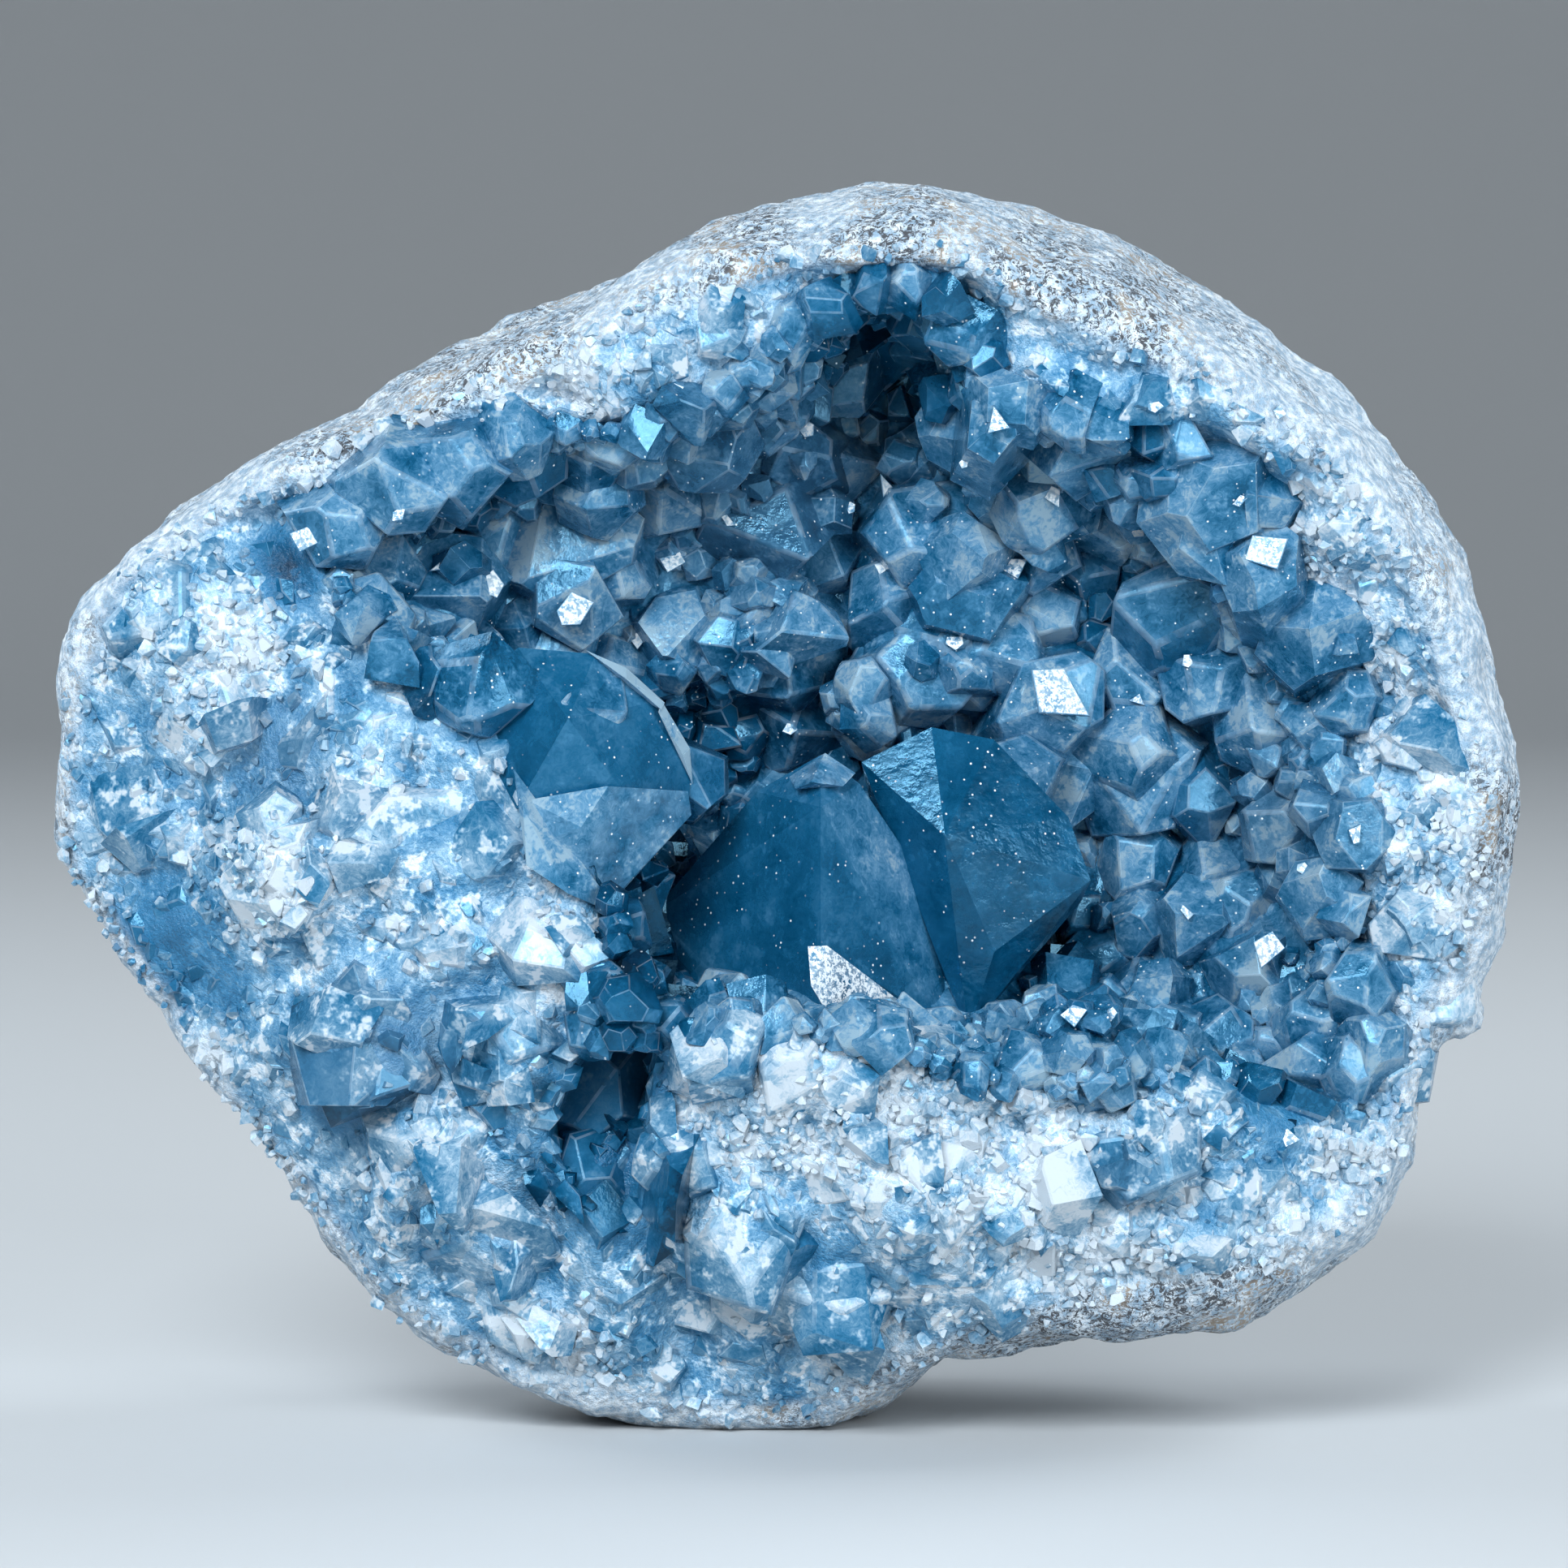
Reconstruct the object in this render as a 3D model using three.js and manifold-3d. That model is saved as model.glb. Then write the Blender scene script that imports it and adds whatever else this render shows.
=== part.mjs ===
// A celestite geode: a nodule broken open at the front, standing on a small natural flat.
// The shell is the rind with the massive celestite under it. The crust is the druse of blocky crystals
// that lines the hollow, grown together with three giant crystals.
// Millimetres: +X is right, +Y is back and +Z is up. The origin is on the resting flat.

import * as THREE from "three";
import { ConvexGeometry } from "three/addons/geometries/ConvexGeometry.js";
import { ImprovedNoise } from "three/addons/math/ImprovedNoise.js";
import { mergeVertices } from "three/addons/utils/BufferGeometryUtils.js";
import Module from "manifold-3d";

const wasm = await Module();
wasm.setup();

// ---- Driving dimensions ----

const SECTORS = 56; // faces round every ring of the shell
const AXIS = { x: 8, z: 106 }; // the line along Y that all rings run round, through the hollow
const BACK = { x: 4, z: 97, depth: 64, radius: 108, roundness: 2.4 }; // behind the widest section
const RESTING_FLAT_Z = 0;
const CRUST_GAP = 0.5; // the crust stands this far in front of the shell
const LINING = 3; // thickness of the druse under its crystals
const LINING_ROOT = 4; // how far the lining is first drawn into the shell, before it is cut back
const CRYSTAL_ROOT = 9; // how far a crystal's prism runs on behind its foot
const BROAD_CRYSTAL = 16; // from this width on, crystals have blunt heads and cut corners
const CORNER_ANGLE = THREE.MathUtils.degToRad(50); // of the faces that cut a broad prism's corners
const ROOF_PITCH = THREE.MathUtils.degToRad(52); // of the two large faces of a crystal's head
const HIP_PITCH = THREE.MathUtils.degToRad(40); // of the two small faces of a crystal's head
const RIND_LUMP = 7; // the rind's rise and fall from lump to lump
const RIND_POCK = 3; // its rise and fall within a lump
const BROKEN_CHIP = 8; // the broken face's rise and fall from chip to chip

// The widest section of the nodule, seen from the front, as [x, z].
const OUTLINE = [
  [124, 101], [123.5, 112], [120, 121], [119, 131], [114.5, 141], [104, 158], [91, 172], [75, 183],
  [59, 192], [42, 198.5], [24, 202], [7, 199.6], [-10, 194.5], [-24, 186], [-38, 179], [-52, 172],
  [-67, 163.5], [-86, 155], [-98, 145], [-109, 139.5], [-111, 131], [-113, 118], [-114.5, 101],
  [-114, 92], [-107, 81.5], [-95, 64.5], [-84, 49], [-74, 34.5], [-62, 20], [-47, 9.5], [-30, 3.2],
  [-19, -1.5], [0, -4.4], [15, -3.2], [24, 5.5], [40, 11.5], [56, 15.5], [67, 15], [79, 15.5],
  [96, 26], [104, 36], [107, 46], [106.5, 58], [113, 65], [121, 73], [122.5, 84],
];

// Where the rind ends and the broken face begins, as [x, y, z].
const RIND_EDGE = [
  [116, -22, 101], [112, -24, 120], [105, -26, 138], [95, -30, 152], [81, -33, 164], [66, -35, 173],
  [50, -36, 180], [32, -36, 190], [8, -35, 190], [-14, -34, 183], [-34, -32, 173], [-56, -30, 163],
  [-80, -26, 153], [-102, -20, 138], [-110, -17, 119], [-111.5, -17, 101], [-110.5, -16, 91],
  [-92, -18, 66], [-76, -19, 44], [-58, -20, 22], [-40, -19, 11.5], [-14, -19, 5], [6, -20, 4.5],
  [24, -26, 13], [40, -30, 18], [57, -33, 24], [78, -33, 26], [93, -29, 34], [102, -22, 48],
  [106, -20, 66], [114, -21, 84],
];

// The mouth of the hollow, as [x, y, z].
const MOUTH = [
  [96, -13, 106], [94, -14, 125], [84, -18, 145], [76, -22, 157], [66, -26, 164], [54, -27, 167],
  [42, -28, 170], [35, -29, 178], [32, -30, 187], [20, -30, 189.5], [9, -30, 186], [1, -30, 176],
  [-10, -30, 170], [-22, -30, 165], [-38, -30, 166], [-48, -29, 161], [-60, -27, 154],
  [-73, -26, 148], [-76, -28, 140], [-63, -32, 131], [-48, -37, 124], [-40, -40, 112], [-30, -41, 97],
  [-25, -42, 84], [-25, -42, 75], [-20, -43, 69], [-12, -45, 67], [-4, -46, 69], [8, -46, 67],
  [22, -46, 66], [32, -44, 60], [44, -41, 60], [60, -37, 64], [71, -33, 64], [79, -29, 56],
  [90, -25, 46], [99, -20, 52], [101, -17, 66], [98, -13, 86],
];

// The foot of the hollow's wall, as [x, y, z].
const FLOOR = [
  [74, 13, 104], [72, 11, 125], [63, 9, 147], [53, 6, 156], [36, 10, 160], [28, 17, 176],
  [17, 17, 178], [7, 8, 164], [-10, 4, 156], [-34, 0, 153], [-58, -9, 143], [-50, -3, 131],
  [-28, 9, 117], [-17, 18, 100], [-15, 20, 86], [-16, 17, 76], [-6, 18, 73], [10, 20, 76],
  [30, 20, 75], [47, 19, 76], [66, 12, 75], [80, 4, 67], [90, -4, 57], [89, 1, 74], [79, 10, 90],
];
const FLOOR_MIDDLE_Y = 24;

// Swellings (negative) and dents (positive) of the front, each [x, z, radius, change in y].
const SWELLINGS = [
  [-68, 88, 34, -9], // the massive left shoulder
  [-52, 46, 22, -6], // the lower left shoulder
  [12, 38, 30, -7], // the bottom lip
  [70, 42, 22, -4],
  [22, 134, 32, -10], // the crowded upper wall of the hollow
  [62, 92, 12, 6], // the dark gap beside the giants
  [102, 84, 14, -5],
  [-90, 132, 16, -4],
];

// Crystals of the hollow, each [x, z, width, thickness, stand, lean in x, lean in z, roll].
// x and z place the head as seen from the front, stand is its height over the druse, a lean is the
// head's slant per unit towards the front, and the roll is in degrees.
const HOLLOW_CRYSTALS = [
  // under the upper left rim
  [-66, 147, 12, 10, 5, 0.1, -0.2, 40], [-57, 153, 14, 12, 6, 0.1, -0.2, 10],
  [-49, 155, 14, 12, 7, 0, -0.3, 70], [-60, 139, 12, 10, 5, 0.2, 0.1, 60],
  [-50, 138, 16, 12, 7, 0.1, 0.1, 30], [-37, 157, 11, 10, 3, 0.1, -0.2, 15],
  [-27, 158, 13, 10, 5, 0, -0.3, 50], [-31, 145, 20, 16, 8, 0.1, 0.1, 35],
  [-30, 134, 12, 11, 10, 0.1, -0.1, 45], [-22, 141, 12, 10, 8, 0.2, 0, 10],
  [-15, 153, 14, 12, 7, 0, -0.1, 20], [-15, 126, 13, 11, 8, -0.1, -0.3, 25],
  [-7, 160, 14, 12, 6, 0.1, -0.2, 75],
  // upper middle
  [2, 149, 20, 18, 8, 0, 0, 40], [4, 160, 11, 8, 8, -0.2, 0.2, 5], [13, 158, 13, 10, 9, 0.2, 0.2, 0],
  [-1, 132, 22, 18, 8, -0.1, 0, 15], [-5, 123, 17, 13, 8, 0, -0.4, 50],
  [13, 171, 14, 12, 6, 0.1, -0.2, 30], [22, 184, 12, 10, 6, 0, -0.9, 10],
  [5, 119, 12, 10, 7, 0.2, -0.4, 30], [26, 121, 18, 14, 11, 0, -0.2, 20],
  [15, 117, 16, 8, 11, -0.7, -0.4, 60], [34, 129, 20, 16, 7, 0.2, 0, 40],
  [21, 134, 14, 12, 7, -0.1, 0.1, 55], [34, 138, 16, 13, 8, 0, 0.2, 25],
  [28, 146, 17, 14, 9, 0, 0.1, 20], [27, 157, 12, 10, 6, 0, 0.1, 60],
  [33, 166, 17, 13, 9, -0.3, 0.1, 30], [38, 165, 10, 7, 12, 0.1, 0.3, 70],
  // upper right
  [45, 153, 19, 16, 8, 0, 0, 35], [53, 160, 14, 12, 5, 0, -0.1, 65], [56, 147, 14, 11, 5, 0.1, 0, 15],
  [46, 143, 11, 8, 6, 0, 0.1, 80], [49, 119, 16, 12, 13, 0.1, 0.2, 30],
  [60, 122, 12, 10, 6, -0.2, 0, 45], [69, 155, 22, 17, 9, -0.4, 0, 30],
  [71, 145, 10, 14, 11, -0.5, -0.2, 45], [78, 152, 10, 8, 5, -0.3, 0, 0],
  [79, 143, 13, 11, 8, -0.2, 0.3, 60], [66, 133, 17, 14, 9, -0.3, 0.1, 0],
  [72, 123, 14, 12, 8, -0.3, 0, 35], [88, 131, 13, 11, 6, -0.3, 0.1, 20],
  // right wall
  [61, 104, 18, 14, 11, -0.2, -0.1, 15], [69, 104, 12, 12, 9, -0.1, -0.1, 70],
  [50, 104, 13, 11, 9, 0, 0, 30], [80, 114, 14, 12, 7, -0.4, 0, 20],
  [94, 119, 12, 10, 5, -0.3, 0, 10], [84, 99, 14, 12, 5, -0.3, 0, 45],
  [95, 98, 14, 12, 6, -0.2, 0, 15], [90, 88, 14, 12, 7, -0.3, 0, 75],
  [73, 89, 12, 10, 6, -0.3, 0, 30], [70, 82, 12, 10, 6, -0.2, 0, 55], [78, 84, 12, 10, 6, -0.2, 0, 5],
  [83, 78, 10, 8, 9, -0.1, 0.1, 40], [80, 73, 16, 13, 7, -0.2, -0.1, 20],
  [96, 73, 14, 12, 5, -0.2, 0, 65], [88, 66, 14, 12, 6, -0.2, 0, 35],
  [94, 60, 12, 10, 5, -0.2, 0, 80],
  // lower edge, behind the lip
  [57, 76, 10, 11, 7, 0.1, 0.4, 20], [51, 66, 18, 14, 9, 0, 0.3, 15],
  [65, 68, 16, 12, 7, 0.1, 0.3, 50], [74, 64, 12, 10, 5, 0, 0.2, 5],
  [90, 60, 12, 10, 4, -0.1, 0.2, 45],
  // the dark ground round the giants
  [6, 113, 15, 11, 5, 0, -0.1, 25], [62, 91, 12, 10, 5, -0.1, 0, 40],
  [-26, 118, 13, 10, 5, 0.3, 0, 65], [-20, 73, 12, 10, 4, 0.2, 0.2, 15],
  [-15, 90, 11, 10, 3, 0.2, 0.1, 50], [-12, 107, 12, 10, 4, 0.2, 0, 0],
];

// Crystals and broken blocks that stand on the broken face, in the same terms.
const FACE_CRYSTALS = [
  [-38, 66, 18, 13, 5, 0.3, 0, 30], [-30, 83, 14, 12, 4, 0.3, 0.1, 60],
  [-48, 84, 22, 14, 3, 0, 0.2, 15], [-75, 95, 24, 16, 3, -0.1, 0.2, 40],
  [-62, 108, 22, 14, 3, 0, 0.2, 70], [-88, 118, 19, 14, 3, -0.1, 0.1, 20],
  [-96, 100, 17, 12, 3, -0.2, 0, 5], [-62, 66, 22, 17, 4, 0.1, 0, 45], [-52, 50, 17, 12, 4, 0, 0, 25],
  [-44, 34, 18, 14, 4, 0.1, -0.1, 60], [-36, 20, 17, 12, 3, 0, -0.1, 35],
  [-96, 134, 17, 12, 3, -0.1, 0.1, 50], [-6, 68, 13, 11, 4, -0.1, 0.4, 20],
  [6, 66, 12, 10, 3, 0, 0.4, 65], [27, 64, 13, 10, 4, 0.1, 0.4, 40],
  [-15, 48, 11, 10, 4, -0.3, 0.1, 10], [-3, 38, 24, 16, 4, 0, 0.1, 55],
  [12, 26, 22, 14, 4, 0, -0.1, 25], [28, 44, 18, 13, 3, 0, 0.1, 75],
  [46, 46, 17, 12, 3, 0.1, 0.1, 30], [62, 50, 17, 13, 4, 0.1, 0.2, 15],
  [78, 42, 16, 12, 3, 0.1, 0, 60], [-6, 177, 12, 10, 4, 0.1, -0.4, 70],
  [62, 168, 14, 11, 3, -0.1, -0.3, 60], [94, 147, 14, 11, 3, 0, 0, 40],
  [105, 112, 14, 11, 3, 0, 0, 20], [106, 84, 14, 12, 3, 0, 0, 35],
  [114, 69, 13, 11, 2, 0.3, -0.2, 25], [103, 60, 12, 10, 3, 0, 0, 70],
];

// Pits in the broken face, each the solid between its own corners, as [x, y, z].
const PITS = [
  // the channel that runs down from the hollow at the lower left
  [
    [-30, -70, 62], [-38, -70, 54], [-37, -70, 46], [-26, -70, 33], [-18, -70, 33], [-16, -70, 58],
    [-14, -70, 72], [-27, -8, 60], [-31, -10, 50], [-24, -12, 38], [-20, -8, 44], [-18, -6, 66],
    [-24, -70, 72], [-22, -8, 70],
  ],
  // the small pit beside it
  [[-70, -70, 60], [-60, -70, 58], [-62, -70, 51], [-71, -70, 54], [-66, -30, 56]],
];

// Crystals that stand in those pits, each the solid between its own corners.
const PIT_CRYSTALS = [
  [
    [-27, -33, 46], [-22, -31, 52], [-18, -28, 46], [-20, -30, 36], [-26, -30, 38], [-32, -6, 42],
    [-22, -4, 56], [-14, -4, 46], [-20, -6, 32],
  ],
];

// The giants, each the solid between its own corners, as [x, y, z].
const GIANTS = [
  // the arrow-headed one in the middle, its front edge upright
  [
    [10, -24, 110.5], [0, -20, 104.5], [10, -32, 103], [16, -23, 106], [10, -38, 60],
    [-17, -8, 84], [-14, -12, 64], [37, -8, 74], [32, -18, 60], [9, 28, 98], [-8, 28, 78],
    [30, 28, 76], [8, 10, 56],
  ],
  // the one behind it, pointing to the right
  [
    [18, -9, 108], [28, -11, 114], [38, -12, 112.5], [50, -14, 100], [53.5, -17, 90],
    [52, -12, 86], [38, -22, 79], [36, -22, 70], [30, -24, 98], [22, 28, 104], [44, 28, 104],
    [48, 28, 84], [26, 28, 70],
  ],
  // the glassy one that leans out of the left shoulder
  [
    [-48, -34, 122], [-38, -37, 128.5], [-26, -37, 127.5], [-16, -34, 120], [-11, -31, 111],
    [-11.5, -30, 103], [-22, -35, 92], [-25, -37, 88.5], [-38, -45, 106], [-30, -46, 117],
    [-22, -43, 109], [-44, 6, 112], [-20, 16, 112], [-24, 12, 98],
  ],
];

const SHELL_COLOUR = "#b9c6d2";
const CRUST_COLOUR = "#5f93bd";

const FORWARD = new THREE.Vector3(0, -1, 0);
const BACKWARD = new THREE.Vector3(0, 1, 0);

// ---- Rings: closed rows of points, one to a sector, all round the axis ----

// The angle of each sector, falling from half a turn, the way a sphere geometry counts its columns.
const SECTOR_ANGLES = Array.from({ length: SECTORS }, (_, i) => Math.PI - (2 * Math.PI * i) / SECTORS);

// The points at which the sectors cross a closed curve drawn through corners.
function ringThrough(corners) {
  const curve = new THREE.CatmullRomCurve3(corners, true, "centripetal");
  const fine = curve.getPoints(SECTORS * 24);
  const angles = fine.map((p) => Math.atan2(p.z - AXIS.z, p.x - AXIS.x));
  return SECTOR_ANGLES.map((sector) => {
    const off = angles.map((a) => Math.abs(Math.atan2(Math.sin(a - sector), Math.cos(a - sector))));
    return fine[off.indexOf(Math.min(...off))].clone();
  });
}

const flatCorner = ([x, z]) => new THREE.Vector3(x, 0, z);
const corner = ([x, y, z]) => new THREE.Vector3(x, y, z);

// A ring part of the way from one ring to another.
const blend = (from, to, share) => from.map((p, i) => p.clone().lerp(to[i], share));

// A ring on the quarter round from the widest section, which leaves it along Y, to the rind's edge.
function shoulder(from, to, share) {
  const turn = (share * Math.PI) / 2;
  return from.map((p, i) => {
    const inward = p.clone().lerp(to[i], 1 - Math.cos(turn));
    inward.y = p.y + (to[i].y - p.y) * Math.sin(turn);
    return inward;
  });
}

// A ring of the rounded back. share is 0 at its pole and 1 at the widest section.
function backRing(outline, share) {
  const turn = (share * Math.PI) / 2;
  const spread = Math.sin(turn) ** (2 / BACK.roundness);
  const depth = BACK.depth * Math.cos(turn) ** (2 / BACK.roundness);
  return outline.map((p, i) => {
    const round = new THREE.Vector3(Math.cos(SECTOR_ANGLES[i]), 0, Math.sin(SECTOR_ANGLES[i]));
    const out = p.clone().sub(new THREE.Vector3(BACK.x, 0, BACK.z));
    const eased = round.multiplyScalar(BACK.radius).lerp(out, share ** 0.7).multiplyScalar(spread);
    return eased.add(new THREE.Vector3(BACK.x, depth, BACK.z));
  });
}

const pole = (x, y, z) => SECTOR_ANGLES.map(() => new THREE.Vector3(x, y, z));

// ---- Rough surfaces ----

const noise = new ImprovedNoise();
const roughness = (p, size, seed) => noise.noise(p.x / size, p.y / size, p.z / size + seed);

// The rind's ring, lumpy across a palm and pocked across a finger.
function weather(ring, lump, pock) {
  return ring.map((p) => {
    const outward = new THREE.Vector3(p.x - AXIS.x, p.y, p.z - AXIS.z).normalize();
    const rough = lump * roughness(p, 46, 3.7) + pock * roughness(p, 13, 17.1);
    return p.clone().addScaledVector(outward, rough);
  });
}

// A ring of the front, with its swellings, and chipped nearer and further.
function breakUp(ring, chip) {
  return ring.map((p) => {
    let depth = p.y + chip * (roughness(p, 11, 41.9) + 0.6 * roughness(p, 6, 73.3));
    for (const [x, z, radius, change] of SWELLINGS) {
      depth += change * Math.exp(-((p.x - x) ** 2 + (p.z - z) ** 2) / radius ** 2);
    }
    return new THREE.Vector3(p.x, depth, p.z);
  });
}

// A repeatable source of numbers from 0 to 1.
function randomSource(seed) {
  let state = seed;
  return () => {
    state = (state * 16807) % 2147483647;
    return state / 2147483647;
  };
}

// ---- Closed surfaces ----

// Pulls a sphere's rows of vertices onto rings, the first one a pole at the back.
function surfaceThrough(rings) {
  const geometry = new THREE.SphereGeometry(1, SECTORS, rings.length - 1);
  const position = geometry.getAttribute("position");
  for (let row = 0; row < rings.length; row++) {
    for (let column = 0; column <= SECTORS; column++) {
      const p = rings[row][column % SECTORS];
      position.setXYZ(row * (SECTORS + 1) + column, p.x, p.y, p.z);
    }
  }
  return geometry;
}

// A ring of the hollow moved out of the rock towards the mouth and the axis, or the other way.
function lift(ring, distance) {
  return ring.map((p) => {
    const inward = new THREE.Vector3(AXIS.x - p.x, 0, AXIS.z - p.z).normalize();
    return p.clone().addScaledVector(inward, distance).addScaledVector(FORWARD, distance);
  });
}

function solidFrom(geometry) {
  const bare = geometry.clone();
  bare.deleteAttribute("normal");
  bare.deleteAttribute("uv");
  const merged = mergeVertices(bare, 1e-4);
  const mesh = new wasm.Mesh({
    numProp: 3,
    vertProperties: merged.getAttribute("position").array,
    triVerts: new Uint32Array(merged.index.array),
  });
  return new wasm.Manifold(mesh);
}

function geometryFrom(solid) {
  const mesh = solid.getMesh();
  const geometry = new THREE.BufferGeometry();
  geometry.setAttribute("position", new THREE.BufferAttribute(mesh.vertProperties, 3));
  geometry.setIndex(new THREE.BufferAttribute(mesh.triVerts, 1));
  return geometry;
}

const addAll = (solid, others) => others.reduce((sum, other) => sum.add(other), solid);
const cutAll = (solid, others) => others.reduce((rest, other) => rest.subtract(other), solid);

// The largest connected piece of a solid.
const mainPiece = (solid) => solid.decompose().sort((a, b) => b.volume() - a.volume())[0];

const hullSolid = (corners) => solidFrom(new ConvexGeometry(corners.map(corner)));

// ---- Crystals ----

// The solid inside planes, each { normal, distance }: the hull of the points where three of them meet.
function insidePlanes(planes) {
  const corners = [];
  const meet = new THREE.Matrix3();
  for (let a = 0; a < planes.length; a++) {
    for (let b = a + 1; b < planes.length; b++) {
      for (let c = b + 1; c < planes.length; c++) {
        const three = [planes[a], planes[b], planes[c]];
        meet.set(...three.flatMap(({ normal }) => normal.toArray()));
        if (Math.abs(meet.determinant()) < 1e-5) continue;
        const point = new THREE.Vector3(...three.map((plane) => plane.distance));
        point.applyMatrix3(meet.invert());
        const kept = planes.every(({ normal, distance }) => normal.dot(point) < distance + 1e-6);
        if (kept && corners.every((other) => other.distanceTo(point) > 1e-3)) corners.push(point);
      }
    }
  }
  return new ConvexGeometry(corners);
}

const plane = (x, y, z, distance) => ({ normal: new THREE.Vector3(x, y, z).normalize(), distance });

// A crystal that points along +Z with its head near the origin: a blocky prism under a roof, like a
// house with a hipped roof. Each face lies further out by margin.
function crystal(width, thickness, length, margin, random) {
  const vary = (size) => size * (0.75 + 0.5 * random()) + margin;
  const planes = [
    plane(1, 0, 0, width / 2 + margin),
    plane(-1, 0, 0, width / 2 + margin),
    plane(0, 1, 0, thickness / 2 + margin),
    plane(0, -1, 0, thickness / 2 + margin),
    plane(0, 0, -1, length + margin),
  ];
  const blunt = width >= BROAD_CRYSTAL;
  for (const side of [1, -1]) {
    const roof = vary((blunt ? 0.14 : 0.05) * width);
    const hip = vary((blunt ? 0.2 : 0.12) * thickness);
    planes.push(plane(side * Math.sin(ROOF_PITCH), 0, Math.cos(ROOF_PITCH), roof));
    planes.push(plane(0, side * Math.sin(HIP_PITCH), Math.cos(HIP_PITCH), hip));
  }
  if (blunt) {
    const across = Math.cos(CORNER_ANGLE);
    const along = Math.sin(CORNER_ANGLE);
    const corner = 0.42 * (across * width + along * thickness);
    for (const [x, y] of [[1, 1], [1, -1], [-1, 1], [-1, -1]]) {
      planes.push(plane(x * across, y * along, 0, vary(corner)));
    }
    planes.push(plane(0.2 * (random() - 0.5), 0.2 * (random() - 0.5), 1, margin));
  }
  return insidePlanes(planes);
}

// Stands listed crystals on a surface, and returns them as solids.
function standAll(rows, surface, seed, margin = 0) {
  const random = randomSource(seed);
  return rows.map(([x, z, width, thickness, height, leanX, leanZ, roll]) => {
    const [hit] = new THREE.Raycaster(new THREE.Vector3(x, -200, z), BACKWARD).intersectObject(surface);
    const growth = new THREE.Vector3(leanX, -1, leanZ).normalize();
    const head = hit.point.clone().addScaledVector(FORWARD, height);
    const shape = crystal(width, thickness, height + CRYSTAL_ROOT, margin, random);
    shape.rotateZ(THREE.MathUtils.degToRad(roll));
    shape.applyQuaternion(new THREE.Quaternion().setFromUnitVectors(new THREE.Vector3(0, 0, 1), growth));
    shape.translate(head.x, head.y, head.z);
    return solidFrom(shape);
  });
}

// ---- The shell ----

const outline = ringThrough(OUTLINE.map(flatCorner));
const rindEdge = ringThrough(RIND_EDGE.map(corner));
const mouth = ringThrough(MOUTH.map(corner));
const foot = ringThrough(FLOOR.map(corner));
const middle = pole(AXIS.x, FLOOR_MIDDLE_Y, AXIS.z);

const back = [0, 0.07, 0.2, 0.38, 0.54, 0.7, 0.86].map((share) => backRing(outline, share));
const rind = [0.4, 0.72].map((share) => shoulder(outline, rindEdge, share));
const face = [0.2, 0.42, 0.64, 0.84].map((share) => blend(rindEdge, mouth, share));
const wall = [mouth, blend(mouth, foot, 0.5), foot, blend(foot, middle, 0.5)];

const shellRings = [
  ...back.map((ring) => weather(ring, RIND_LUMP, RIND_POCK)),
  ...[outline, ...rind, rindEdge].map((ring) => weather(ring, 2, 2)),
  ...face.map((ring) => breakUp(ring, BROKEN_CHIP)),
  ...wall.map((ring) => breakUp(ring, 3)),
  breakUp(middle, 0),
];

const shellSurface = new THREE.Mesh(surfaceThrough(shellRings));
const blocks = standAll(FACE_CRYSTALS, shellSurface, 11);
const underFloor = new THREE.BoxGeometry(300, 300, 40).translate(0, 0, RESTING_FLAT_Z - 20);
const pitted = cutAll(addAll(solidFrom(shellSurface.geometry), blocks), PITS.map(hullSolid));
const filled = addAll(pitted, PIT_CRYSTALS.map(hullSolid));
const shellSolid = mainPiece(filled.subtract(solidFrom(underFloor)));

// ---- The crust ----

const hollowRings = shellRings.slice(-wall.length - 1);
const sunk = hollowRings.map((ring) => lift(ring, -LINING_ROOT)).reverse();
const raised = hollowRings.map((ring) => lift(ring, LINING));
const liningSurface = new THREE.Mesh(surfaceThrough([...sunk, ...raised]));

const crystals = standAll(HOLLOW_CRYSTALS, liningSurface, 29);
const grown = addAll(solidFrom(liningSurface.geometry), [...crystals, ...GIANTS.map(hullSolid)]);
const nearerShell = solidFrom(shellSurface.geometry).translate(0, -CRUST_GAP, 0);
const widerBlocks = standAll(FACE_CRYSTALS, shellSurface, 11, CRUST_GAP);
const crustSolid = mainPiece(cutAll(grown, [nearerShell, ...widerBlocks]));

// ---- The geode ----

function piece(name, solid, color, roughness) {
  const material = new THREE.MeshStandardMaterial({ color, roughness, flatShading: true });
  const mesh = new THREE.Mesh(geometryFrom(solid), material);
  mesh.name = name;
  return mesh;
}

const geode = new THREE.Group();
geode.name = "celestite_geode";
geode.add(piece("geode_shell", shellSolid, SHELL_COLOUR, 0.8));
geode.add(piece("crystal_crust", crustSolid, CRUST_COLOUR, 0.25));

export default geode;
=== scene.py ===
import itertools
import logging
import math
import random
from collections.abc import Iterable, Iterator, Sequence
from contextlib import contextmanager
from dataclasses import dataclass
from enum import Enum

import bpy
import numpy as np
from mathutils import Matrix, Vector, noise
from mathutils.bvhtree import BVHTree


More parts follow.
